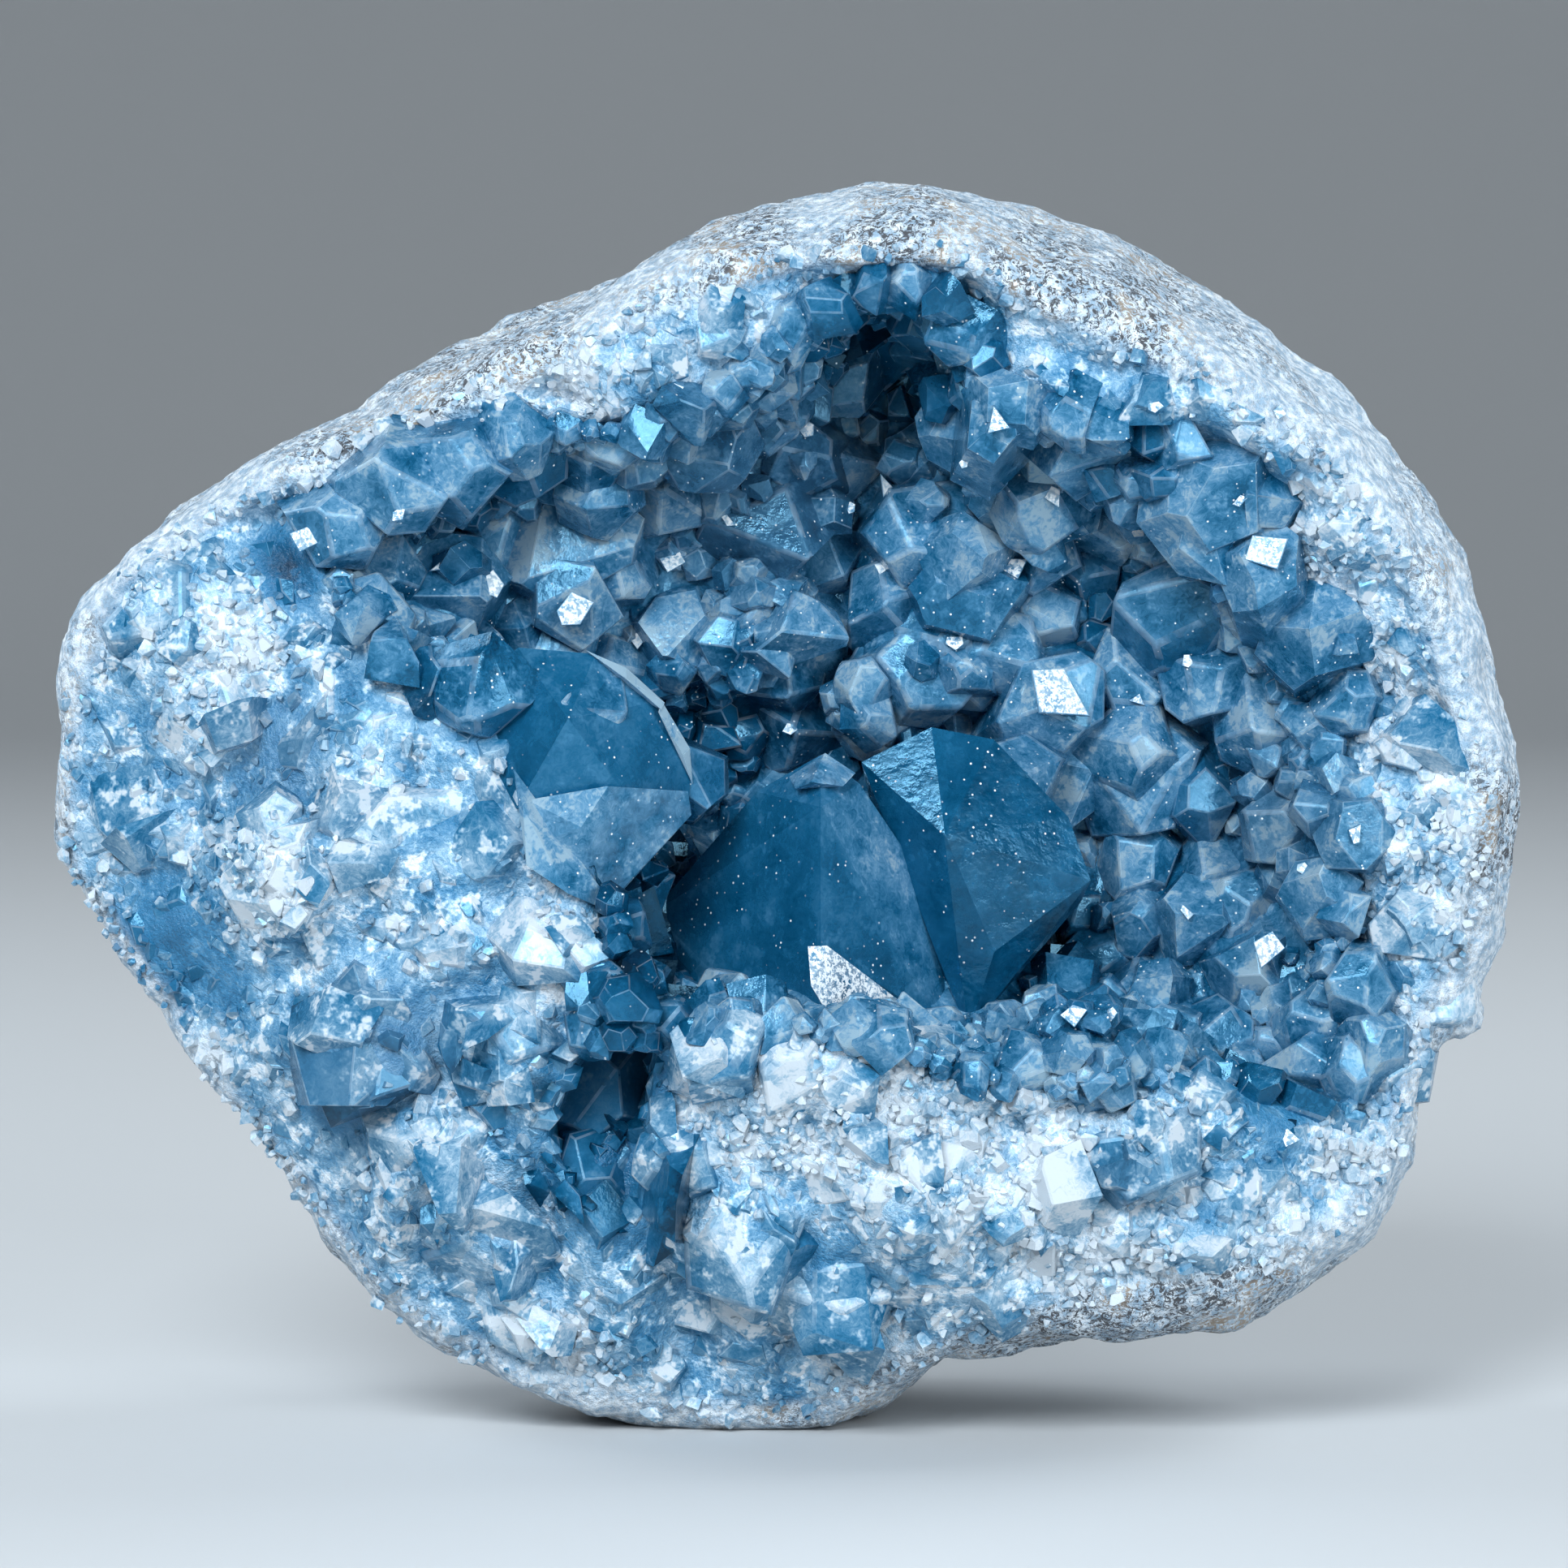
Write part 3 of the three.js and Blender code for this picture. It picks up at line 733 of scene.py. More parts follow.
def reach_from(points: np.ndarray, x: float, z: float, radius: float) -> np.ndarray:
    """Measures how far points lie from a middle, as seen from the front.

    Args:
        points: The points, in metres, one a row.
        x: The middle's x, in mm.
        z: The middle's z, in mm.
        radius: The distance in mm that counts as 1.

    Returns:
        The square of each distance.
    """
    return ((points[:, 0] / MM - x) ** 2 + (points[:, 2] / MM - z) ** 2) / radius**2


def locals_at(points: np.ndarray) -> np.ndarray:
    """Mixes the stretches round places.

    Args:
        points: Points on the geode, in metres, one a row.

    Returns:
        One row for each point, with its traits in Trait's order.
    """
    total = np.full(len(points), COMMON_WEIGHT)
    sums = np.outer(total, Kind.COMMON.value)
    for x, z, radius, kind in STRETCHES:
        weight = np.exp(-STRETCH_FALL * reach_from(points, x, z, radius))
        total += weight
        sums += np.outer(weight, kind.value)
    return sums / total[:, None]


def local_at(point: Vector) -> np.ndarray:
    """The traits at one place."""
    return locals_at(np.array([point]))[0]


# Dark patches of the rind: x and z of the middle and the radius, in mm.
DARK_PATCHES = [
    (-2, 193, 8), (23, 195, 8), (45, 188, 10), (58, 181, 10), (-50, 165, 9), (-36, 173, 9), (-62, 158, 7),
    (48, 21, 10), (62, 20, 12), (78, 24, 10), (118, 100, 8),
]

# The line where the rind ends and the broken face begins, as x and z in mm.
RIND_EDGE = [
    (116, 101), (112, 120), (105, 138), (95, 152), (81, 164), (66, 173), (50, 180), (32, 190),
    (8, 190), (-14, 183), (-34, 173), (-56, 163), (-80, 153), (-102, 138), (-110, 119),
    (-111.5, 101), (-110.5, 91), (-92, 66), (-76, 44), (-58, 22), (-40, 11.5), (-14, 5), (6, 4.5),
    (24, 14), (40, 21), (57, 27), (78, 30), (93, 37), (102, 48), (106, 66), (114, 84),
]


def inside_rind_edge(xs: np.ndarray, zs: np.ndarray) -> np.ndarray:
    """Measures how far places lie inside the rind's edge.

    Args:
        xs: The places' x, in metres.
        zs: The places' z, in metres.

    Returns:
        Distances in mm, negative outside.
    """
    corners = np.array(RIND_EDGE) * MM
    nearest = np.full(xs.shape, np.inf)
    inside = np.zeros(xs.shape, bool)
    for (ax, az), (bx, bz) in zip(corners, np.roll(corners, -1, axis=0)):
        dx, dz = bx - ax, bz - az
        along = np.clip(((xs - ax) * dx + (zs - az) * dz) / (dx**2 + dz**2), 0, 1)
        nearest = np.minimum(nearest, np.hypot(xs - ax - along * dx, zs - az - along * dz))
        crosses = (az > zs) != (bz > zs)
        with np.errstate(divide="ignore", invalid="ignore"):
            inside ^= crosses & (xs < dx * (zs - az) / dz + ax)
    return np.where(inside, nearest, -nearest) / MM


# ---- Crystals ----


BLANK_SHARE = 2.2  # how much larger a blank is than the crystal that is cut out of it
BEVELLED_SHARE = 0.8  # the share of a crystal's length over which its edges are rounded
BISECT_LIMIT = 1e-7  # in metres
ROOT_FALL = 1.1  # how much the lift falls from head to root
FADED_FACET = 0.9  # facets with less than this share of the fade's width stay whole
FIRST_INSET = 0.01  # the inset before the new corners are drawn in, as a share of the fade's width
FACET_NOISE = 1.5  # how fast the tone changes with a facet's direction
SMALLEST_AREA = 1e-12  # in square metres


def slanted(around: float, pitch: float) -> Vector:
    """A direction about the upward axis, at an angle from it, both in radians."""
    return Vector((math.sin(pitch) * math.cos(around), math.sin(pitch) * math.sin(around), math.cos(pitch)))


def jitter(chance: random.Random, spread: float) -> Vector:
    """Draws an offset of up to spread along each axis."""
    return Vector([chance.uniform(-spread, spread) for _ in "xyz"])


@dataclass(frozen=True)
class Habit:
    """The form of one crystal, in mm and degrees: a prism of uneven sides under a flat or a pointed head.

    A pitch is measured from the axis, a turn is a share of the angle between two facets, and a roof's
    start is the share of the half width at which its facets begin.
    """

    width: float
    thickness: float
    length: float
    sides: int = 6
    pointed: bool = False
    bevel: float = 0.5
    segments: int = 2
    side_turn: Span = (-0.2, 0.2)
    side_reach: Span = (0.88, 1.06)
    side_pitch: Span = (75, 89)
    roof_turn: Span = (-0.25, 0.25)
    point_count: int = 4
    point_pitch: Span = (40, 58)
    point_start: Span = (0.02, 0.2)
    head_pitch: Span = (4, 28)
    chamfer_counts: tuple[int, ...] = (3, 4, 5)
    chamfer_pitch: Span = (26, 60)
    chamfer_start: Span = (0.15, 0.7)

    def build(self, name: str, chance: random.Random) -> bpy.types.Object:
        """Models the crystal with its head at the origin and its root below.

        Args:
            name: The object's name.
            chance: The source of its irregularities.

        Returns:
            The crystal.
        """
        crystal = block(name, BLANK_SHARE * max(self.width, self.thickness, self.length))
        cut_facets(crystal, self._cuts(chance))
        round_upper_edges(crystal, -BEVELLED_SHARE * self.length, self.bevel, self.segments)
        return crystal

    def _cuts(self, chance: random.Random) -> Iterator[tuple[Vector, Vector]]:
        """Gives the planes that the crystal is cut with.

        Args:
            chance: The source of its irregularities.

        Yields:
            A point on each plane and the plane's outward normal.
        """
        yield Vector((0, 0, -self.length)) * MM, -UP
        start = chance.uniform(0, math.tau)
        for i in range(self.sides):
            around = start + math.tau * (i + chance.uniform(*self.side_turn)) / self.sides
            reach = self._radius(around) * chance.uniform(*self.side_reach)
            normal = slanted(around, math.radians(chance.uniform(*self.side_pitch)))
            yield normal * reach * MM, normal
        if self.pointed:
            count = self.point_count
            pitches, starts = self.point_pitch, self.point_start
        else:
            tilt = math.radians(chance.uniform(*self.head_pitch))
            yield Vector(), slanted(chance.uniform(0, math.tau), tilt)
            count = chance.choice(self.chamfer_counts)
            pitches, starts = self.chamfer_pitch, self.chamfer_start
        roof = [(chance.uniform(*pitches), chance.uniform(*starts)) for _ in range(count)]
        start = chance.uniform(0, math.tau)
        for i, (pitch, share) in enumerate(roof):
            around = start + math.tau * (i + chance.uniform(*self.roof_turn)) / count
            edge = Vector((math.cos(around), math.sin(around), 0)) * share * self._radius(around)
            yield edge * MM, slanted(around, math.radians(pitch))

    def _radius(self, around: float) -> float:
        """The half width in a direction about the axis, in mm."""
        return 0.5 / math.hypot(math.cos(around) / self.width, math.sin(around) / self.thickness)


def block(name: str, size: float, place: Vector = Vector()) -> bpy.types.Object:
    """Adds a block to cut facets on, with two material slots for faces and rounded edges.

    Args:
        name: The object's name.
        size: Its size, in mm.
        place: Its middle, in metres.

    Returns:
        The block.
    """
    bpy.ops.mesh.primitive_cube_add(size=size * MM, location=place)
    bpy.ops.object.transform_apply(location=True, rotation=False, scale=False)
    made = bpy.context.object
    made.name = name
    for _ in range(2):
        made.data.materials.append(None)
    return made


def cut_facets(piece: bpy.types.Object, cuts: Iterable[tuple[Vector, Vector]]) -> None:
    """Cuts flat facets on a piece.

    Args:
        piece: The piece.
        cuts: A point on each facet and the facet's normal.
    """
    with editing(piece):
        for point, normal in cuts:
            bpy.ops.mesh.select_all(action="SELECT")
            bpy.ops.mesh.bisect(
                plane_co=point, plane_no=normal, use_fill=True, clear_outer=True, threshold=BISECT_LIMIT
            )


def round_upper_edges(
    piece: bpy.types.Object, floor: float, width: float, segments: int, frosted_edge_shine: float = FROSTED_EDGE_SHINE
) -> None:
    """Bevels the edges above a level and marks the new faces as frosted, partly a painted highlight along
    the edges.

    Args:
        piece: The piece, with two material slots.
        floor: The level, in mm.
        width: The bevel's width, in mm.
        segments: The number of strips across it.
        frosted_edge_shine: How frosted the new faces are; their whiteness is partly a painted highlight.
    """
    mesh = piece.data
    deselect_mesh(mesh)
    for edge in mesh.edges:
        edge.select = all(mesh.vertices[i].co.z > floor * MM for i in edge.vertices)
    with editing(piece, Choice.EDGES):
        bpy.ops.mesh.bevel(
            offset=width * MM, segments=segments, affect="EDGES", material=1, clamp_overlap=True
        )
    set_values(mesh, FROST, [frosted_edge_shine * polygon.material_index for polygon in mesh.polygons])


@dataclass
class Growth:
    """One crystal or grain ready to be grown together with the others."""

    piece: bpy.types.Object
    centre: Vector
    reach: float


def set_lift(piece: bpy.types.Object, fall: float = ROOT_FALL) -> None:
    """Writes how near each facet's corners are to the head, which the materials paint as shade where it is
    low.

    Args:
        piece: The crystal, modelled at the origin.
        fall: How much the lift falls from head to root.
    """
    mesh = piece.data
    heights = rows_of(mesh.vertices, "co")[:, 2]
    lift = np.clip(1 + fall * heights / -heights.min(), 0, 1)
    inner = mesh.attributes.get(INNER)
    if inner:
        # painted shade: the middles of faded facets get less lift, so they show darker
        lift -= FACET_MIDDLE_SHADE * np.array([value.value for value in inner.data])
        mesh.attributes.remove(inner)
    corners = np.empty(len(mesh.loops), int)
    mesh.loops.foreach_get("vertex_index", corners)
    set_values(mesh, LIFT, lift[corners], "CORNER")


def perimeter(mesh: bpy.types.Mesh, polygon: bpy.types.MeshPolygon) -> float:
    """The length of a face's edges together."""
    return sum((mesh.vertices[a].co - mesh.vertices[b].co).length for a, b in polygon.edge_keys)


def fade_facets(piece: bpy.types.Object, width: float) -> None:
    """Insets the larger facets in their own planes, so that painted shade can darken their middles and leave
    their edges paler.

    Each inset face is drawn in towards its own middle, so that no corner crosses another.

    Args:
        piece: The piece.
        width: How far from the edges the new corners lie, in mm.
    """
    mesh = piece.data
    width *= MM
    deselect_mesh(mesh)
    for polygon in mesh.polygons:
        polygon.select = polygon.area / perimeter(mesh, polygon) > FADED_FACET * width
    with editing(piece, Choice.FACES):
        bpy.ops.mesh.inset(thickness=FIRST_INSET * width, depth=0, use_individual=True)
    inner = np.zeros(len(mesh.vertices))
    for polygon in mesh.polygons:
        if polygon.select:
            middle, kept = polygon.center.copy(), 1 - width * perimeter(mesh, polygon) / (2 * polygon.area)
            for i in polygon.vertices:
                mesh.vertices[i].co = middle.lerp(mesh.vertices[i].co, kept)
                inner[i] = 1
    mesh.update()
    set_values(mesh, INNER, inner, "POINT")


def set_down(piece: bpy.types.Object, place: Matrix, tone: float, smoke: float) -> Growth:
    """Moves a crystal's mesh to its place and gives it its colour.

    Args:
        piece: The crystal, modelled at the origin.
        place: Its place, turn and size.
        tone: How deep its blue is.
        smoke: How grey it is.

    Returns:
        The crystal as a growth.
    """
    mesh = piece.data
    own = place.translation / MM
    spread = [FACET_SPREAD * noise.noise(polygon.normal * FACET_NOISE + own) for polygon in mesh.polygons]
    set_values(mesh, TONE, [tone + offset for offset in spread])
    set_values(mesh, SMOKE, [smoke] * len(spread))
    if not mesh.attributes.get(LIFT):
        set_lift(piece)
    mesh.transform(place)
    mesh.materials.clear()
    mesh.polygons.foreach_set("material_index", [0] * len(spread))
    corners = rows_of(mesh.vertices, "co")
    centre = (corners.min(0) + corners.max(0)) / 2
    reach = float(np.linalg.norm(corners - centre, axis=1).max())
    return Growth(piece, Vector(centre), reach)


def standing(head: Vector, growth: Vector, roll: float, width: float = MODEL_SIZE) -> Matrix:
    """Gives the place of a crystal whose head is at a point.

    Args:
        head: The head's place.
        growth: The direction in which the crystal grows.
        roll: Its turn about that direction, in degrees.
        width: The width in mm that a model gets. Without it the crystal keeps its size.

    Returns:
        The matrix.
    """
    turn = UP.rotation_difference(growth.normalized()).to_matrix().to_4x4()
    rolled = Matrix.Rotation(math.radians(roll), 4, "Z")
    return Matrix.Translation(head) @ turn @ rolled @ Matrix.Scale(width / MODEL_SIZE, 4)


def grow_together(base: bpy.types.Object | None, growths: list[Growth]) -> bpy.types.Object:
    """Joins crystals, which may overlap, in one solid.

    Args:
        base: The solid that they grow from, if there is one.
        growths: The crystals.

    Returns:
        The solid.
    """
    layers: list[list[Growth]] = []
    for growth in sorted(growths, key=lambda g: -g.reach):
        for layer in layers:
            if all((growth.centre - other.centre).length > growth.reach + other.reach for other in layer):
                layer.append(growth)
                break
        else:
            layers.append([growth])
    for layer in layers:
        solid = joined([growth.piece for growth in layer])
        if base is None:
            base = solid
        else:
            combine(base, solid)
    log.info("%d crystals in %d layers, %d faces", len(growths), len(layers), len(base.data.polygons))
    return base


def soften(piece: bpy.types.Object, angle: float, weight: int = 80) -> None:
    """Shades a piece smoothly over its rounded edges and leaves its facets flat.

    Args:
        piece: The piece.
        angle: The sharpest turn that is shaded smoothly, in degrees.
        weight: How much more the large faces count than the small ones.
    """
    pick(piece)
    bpy.ops.object.shade_smooth_by_angle(angle=math.radians(angle))
    apply_modifier(piece, "WEIGHTED_NORMAL", keep_sharp=True, weight=weight)


def solid_tree(piece: bpy.types.Object) -> BVHTree:
    """A piece's surface, for finding places on it."""
    return BVHTree.FromObject(piece, bpy.context.evaluated_depsgraph_get())


class Ground:
    """The surface of a CAD node, for finding places on it."""

    def __init__(self, node: str) -> None:
        """Reads a node's triangles.

        Args:
            node: The CAD node's name.
        """
        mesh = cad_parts[node].data
        mesh.calc_loop_triangles()
        points = rows_of(mesh.vertices, "co")
        corners = np.empty(len(mesh.loop_triangles) * 3, int)
        mesh.loop_triangles.foreach_get("vertices", corners)
        corners = corners.reshape(-1, 3)
        self.triangles = points[corners]
        first, second, third = self.triangles[:, 0], self.triangles[:, 1], self.triangles[:, 2]
        cross = np.cross(second - first, third - first)
        self.areas = np.linalg.norm(cross, axis=1) / 2
        self.normals = cross / np.maximum(2 * self.areas, SMALLEST_AREA)[:, None]
        self.tree = BVHTree.FromPolygons([tuple(point) for point in points], corners.tolist())

    def seen_at(self, x: float, z: float) -> Vector | None:
        """The foremost point at x and z, in metres, or None."""
        return self.tree.ray_cast(Vector((x, FAR_IN_FRONT, z)), -FORWARD)[0]

    def is_back(self, point: Vector, skin: float = 4.0) -> bool:
        """Tells whether a point lies on the side away from the camera.

        Args:
            point: The point.
            skin: How deep that side reaches, in mm.

        Returns:
            Whether the point is no deeper than the skin.
        """
        found = self.tree.ray_cast(Vector((point.x, -FAR_IN_FRONT, point.z)), FORWARD)[0]
        return found is None or found.y - point.y < skin * MM

    def scatter(self, count: int, seed: int, keep: np.ndarray) -> tuple[np.ndarray, np.ndarray, np.ndarray]:
        """Draws points all over some triangles.

        Args:
            count: How many points.
            seed: The seed of the draw.
            keep: Which triangles take part.

        Returns:
            The points, the normals there and the traits there.
        """
        draw = np.random.default_rng(seed)
        weights = np.where(keep, self.areas, 0)
        chosen = draw.choice(len(weights), count, p=weights / weights.sum())
        a, b = draw.random((2, count, 1))
        fold = a + b > 1
        a, b = np.where(fold, 1 - a, a), np.where(fold, 1 - b, b)
        corners = self.triangles[chosen]
        points = corners[:, 0] + a * (corners[:, 1] - corners[:, 0]) + b * (corners[:, 2] - corners[:, 0])
        return points, self.normals[chosen], locals_at(points)


class Spacing:
    """Keeps points apart, each by its own distance."""

    def __init__(self, cell: float) -> None:
        """Starts with no points.

        Args:
            cell: The largest distance that is asked for, in mm.
        """
        self.cell = cell * MM
        self.kept: dict[tuple[int, ...], list[tuple[Vector, float]]] = {}

    def takes(self, point: Vector, distance: float) -> bool:
        """Keeps a point unless an earlier one is too near.

        Args:
            point: The point.
            distance: The distance that it keeps from the others, in mm.

        Returns:
            Whether it was kept.
        """
        distance *= MM
        home = tuple(math.floor(c / self.cell) for c in point)
        for steps in itertools.product((-1, 0, 1), repeat=3):
            cell = tuple(at + step for at, step in zip(home, steps))
            for other, own in self.kept.get(cell, ()):
                if (other - point).length < (distance + own) / 2:
                    return False
        self.kept.setdefault(home, []).append((point, distance))
        return True


# Crystals of the hollow, each [x, z, width, thickness, stand, lean in x, lean in z, roll] in mm and degrees.
# x and z place the head as seen from the front, stand is its height over the druse, and a lean is the
# head's slant per unit towards the front.
HOLLOW_CRYSTALS: list[Row] = [
    # under the upper left rim
    (-66, 147, 12, 10, 5, 0.1, -0.2, 40), (-57, 153, 14, 12, 6, 0.1, -0.2, 10),
    (-49, 155, 14, 12, 7, 0, -0.3, 70), (-60, 139, 12, 10, 5, 0.2, 0.1, 60),
    (-50, 138, 16, 12, 7, 0.1, 0.1, 30), (-37, 157, 11, 10, 3, 0.1, -0.2, 15),
    (-27, 158, 13, 10, 5, 0, -0.3, 50), (-31, 145, 20, 16, 8, 0.1, 0.1, 35),
    (-30, 134, 12, 11, 10, 0.1, -0.1, 45), (-22, 141, 12, 10, 8, 0.2, 0, 10),
    (-15, 153, 14, 12, 7, 0, -0.1, 20), (-15, 126, 13, 11, 8, -0.1, -0.3, 25),
    (-7, 160, 14, 12, 6, 0.1, -0.2, 75),
    # upper middle
    (2, 149, 20, 18, 8, 0, 0, 40), (4, 160, 11, 8, 8, -0.2, 0.2, 5), (13, 158, 13, 10, 9, 0.2, 0.2, 0),
    (-1, 132, 22, 18, 8, -0.1, 0, 15), (-5, 123, 17, 13, 8, 0, -0.4, 50),
    (13, 171, 14, 12, 6, 0.1, -0.2, 30), (22, 178, 11, 9, 6, 0, -0.1, 10),
    (5, 119, 12, 10, 7, 0.2, -0.4, 30), (26, 121, 18, 14, 11, 0, -0.2, 20),
    (15, 117, 16, 8, 11, -0.7, -0.4, 60), (34, 129, 20, 16, 7, 0.2, 0, 40),
    (21, 134, 14, 12, 7, -0.1, 0.1, 55), (34, 138, 16, 13, 8, 0, 0.2, 25),
    (28, 146, 17, 14, 9, 0, 0.1, 20), (27, 157, 12, 10, 6, 0, 0.1, 60),
    (33, 166, 17, 13, 9, -0.3, 0.1, 30), (38, 165, 10, 7, 12, 0.1, 0.3, 70),
    # upper right
    (45, 153, 19, 16, 8, 0, 0, 35), (53, 160, 14, 12, 5, 0, -0.1, 65), (56, 147, 14, 11, 5, 0.1, 0, 15),
    (46, 143, 11, 8, 6, 0, 0.1, 80), (49, 119, 16, 12, 13, 0.1, 0.2, 30),
    (60, 122, 12, 10, 6, -0.2, 0, 45), (69, 155, 22, 17, 9, -0.4, 0, 30),
    (71, 145, 10, 14, 11, -0.5, -0.2, 45), (78, 152, 10, 8, 5, -0.3, 0, 0),
    (79, 143, 13, 11, 8, -0.2, 0.3, 60), (66, 133, 17, 14, 9, -0.3, 0.1, 0),
    (72, 123, 14, 12, 8, -0.3, 0, 35), (88, 131, 13, 11, 6, -0.3, 0.1, 20),
    # right wall
    (40, 106, 13, 11, 3, 0.1, 0.1, 30), (61, 104, 18, 14, 11, -0.2, -0.1, 15),
    (69, 104, 12, 12, 9, -0.1, -0.1, 70),
    (50, 104, 13, 11, 9, 0, 0, 30), (80, 114, 14, 12, 7, -0.4, 0, 20),
    (94, 119, 9, 8, 5, -0.3, 0, 10), (84, 99, 12, 10, 5, -0.3, 0, 45),
    (95, 98, 10, 9, 6, -0.2, 0, 15), (90, 88, 11, 9, 7, -0.3, 0, 75),
    (73, 89, 12, 10, 6, -0.3, 0, 30), (70, 82, 12, 10, 6, -0.2, 0, 55), (78, 84, 12, 10, 6, -0.2, 0, 5),
    (83, 78, 9, 8, 9, -0.1, 0.1, 40), (80, 73, 12, 10, 7, -0.2, -0.1, 20),
    (96, 73, 10, 8, 5, -0.2, 0, 65), (88, 66, 11, 9, 6, -0.2, 0, 35),
    (94, 60, 9, 8, 5, -0.2, 0, 80),
    # lower edge, behind the lip
    (57, 76, 10, 11, 7, 0.1, 0.4, 20), (51, 66, 18, 14, 9, 0, 0.3, 15),
    (65, 68, 16, 12, 7, 0.1, 0.3, 50), (74, 64, 12, 10, 5, 0, 0.2, 5),
    (90, 60, 12, 10, 4, -0.1, 0.2, 45),
    # the ground round the giants, painted dark as shade
    (6, 113, 15, 11, 5, 0, -0.1, 25), (62, 91, 12, 10, 5, -0.1, 0, 40),
    (-26, 118, 13, 10, 5, 0.3, 0, 65), (-12, 107, 12, 10, 4, 0.2, 0, 0),
]

# Crystals and broken blocks that stand on the broken face, in the same terms.
FACE_CRYSTALS: list[Row] = [
    (-38, 66, 18, 13, 5, 0.3, 0, 30),
    (-48, 84, 14, 10, 3, 0, 0.2, 15), (-75, 95, 14, 11, 3, -0.1, 0.2, 40),
    (-62, 108, 13, 10, 3, 0, 0.2, 70), (-88, 118, 15, 12, 3, -0.1, 0.1, 20),
    (-96, 100, 17, 12, 3, -0.2, 0, 5), (-62, 66, 22, 17, 4, 0.1, 0, 45), (-52, 50, 17, 12, 4, 0, 0, 25),
    (-44, 34, 18, 14, 4, 0.1, -0.1, 60), (-36, 20, 17, 12, 3, 0, -0.1, 35),
    (-96, 134, 17, 12, 3, -0.1, 0.1, 50), (-6, 68, 13, 11, 4, -0.1, 0.4, 20),
    (6, 66, 12, 10, 3, 0, 0.4, 65), (27, 64, 13, 10, 4, 0.1, 0.4, 40),
    (-15, 48, 11, 10, 4, -0.3, 0.1, 10), (-3, 38, 24, 16, 4, 0, 0.1, 55), (-25, 45, 13, 11, 4, 0.1, 0.2, 20),
    (-24, 54, 19, 15, 26, 0, 0, 50),
    (12, 26, 22, 14, 4, 0, -0.1, 25), (28, 44, 18, 13, 3, 0, 0.1, 75),
    (46, 46, 17, 12, 3, 0.1, 0.1, 30), (62, 50, 17, 13, 4, 0.1, 0.2, 15),
    (78, 42, 16, 12, 3, 0.1, 0, 60), (-6, 177, 6, 5, 2, 0.1, -0.4, 70),
    (62, 168, 6, 5, 2, -0.1, -0.3, 60), (94, 147, 7, 6, 2, 0, 0, 40),
    (105, 112, 7, 6, 2, 0, 0, 20), (106, 84, 12, 10, 3, 0, 0, 35),
    (111, 70, 11, 9, 2, 0.1, -0.2, 25), (103, 60, 12, 10, 3, 0, 0, 70),
]

# The giants and the pale flakes on them, each its tone, its frost and the solid between its own corners,
# as x, y and z in mm.
GIANTS: dict[str, tuple[float, float, list[Row]]] = {
    "middle_giant": (0.52, 0.0, [
        (10, -24, 110.5), (0, -20, 104.5), (10, -32, 103), (16, -23, 106), (10, -38, 60),
        (-17, -8, 84), (-14, -12, 64), (37, -8, 74), (32, -18, 60), (9, 28, 98), (-8, 28, 78),
        (30, 28, 76), (8, 10, 56),
    ]),
    "right_giant": (0.8, 0.0, [
        (17, -16, 109), (28, -16, 114.5), (38, -15, 112.5), (50, -15, 100), (53.5, -17, 90),
        (52, -12, 86), (38, -22, 79), (34, -20, 66), (30, -24.5, 98), (22, 28, 104), (44, 28, 104),
        (48, 28, 84), (26, 28, 66),
    ]),
    "left_giant": (0.58, 0.0, [
        (-48, -34, 122), (-38, -37, 128.5), (-26, -37, 127.5), (-16, -34, 120), (-11, -31, 111),
        (-11.5, -32, 103), (-22, -43, 107), (-38, -45.5, 104), (-30, -46.5, 118), (-44, 6, 112),
        (-20, 16, 112), (-24, 12, 98),
    ]),
    "left_ledge": (0.34, 0.15, [
        (-36, -46.5, 105), (-24, -45, 107), (-11.5, -35, 105.5), (-11, -34, 102), (-22, -39.5, 90.5),
        (-24.5, -40, 87.5), (-36, -45, 98), (-28, -47, 101), (-30, 0, 104), (-15, 0, 103), (-24, 0, 92),
    ]),
    "left_blade": (0.2, 0.0, [
        (-38.5, -47, 110), (-37, -48.5, 104), (-36.5, -48, 95), (-30, -47, 90.5), (-23, -42, 87),
        (-25, -43.5, 91), (-37, -38, 96), (-37, -38, 106), (-26, -38, 90),
    ]),
    # a thin flake along the left giant's rim, painted pale as the rim's highlight
    "left_highlight_crescent": (0.0, 0.0, [
        (-27, -37.8, 128.2), (-21, -37.5, 125.6), (-15, -35.6, 120), (-15.5, -36.5, 119),
        (-21, -38.8, 124), (-20, -33, 121),
    ]),
    # the end of that flake, painted pale as the same highlight
    "left_crescent_end": (0.0, 0.0, [
        (-15.4, -35.8, 120.2), (-11, -33, 112.5), (-10.6, -31.8, 107), (-12, -34, 111.5),
        (-15.8, -36.6, 118.4), (-14, -31, 114),
    ]),
    "middle_cap": (0.3, 0.3, [
        (5, -25.5, 107.4), (10.7, -25, 111.2), (15.5, -25, 108), (13.5, -29, 106.2), (8.5, -31.4, 107),
        (6, -29, 105.8), (10, -18, 105),
    ]),
    "middle_flake": (0.36, 1.0, [
        (8, -36.6, 81), (11, -35.4, 81), (20, -28.6, 73), (29, -21.4, 66), (22, -28.6, 63), (16, -35, 62),
        (8.5, -38, 75), (12, -30, 76), (20, -20, 66),
    ]),
}

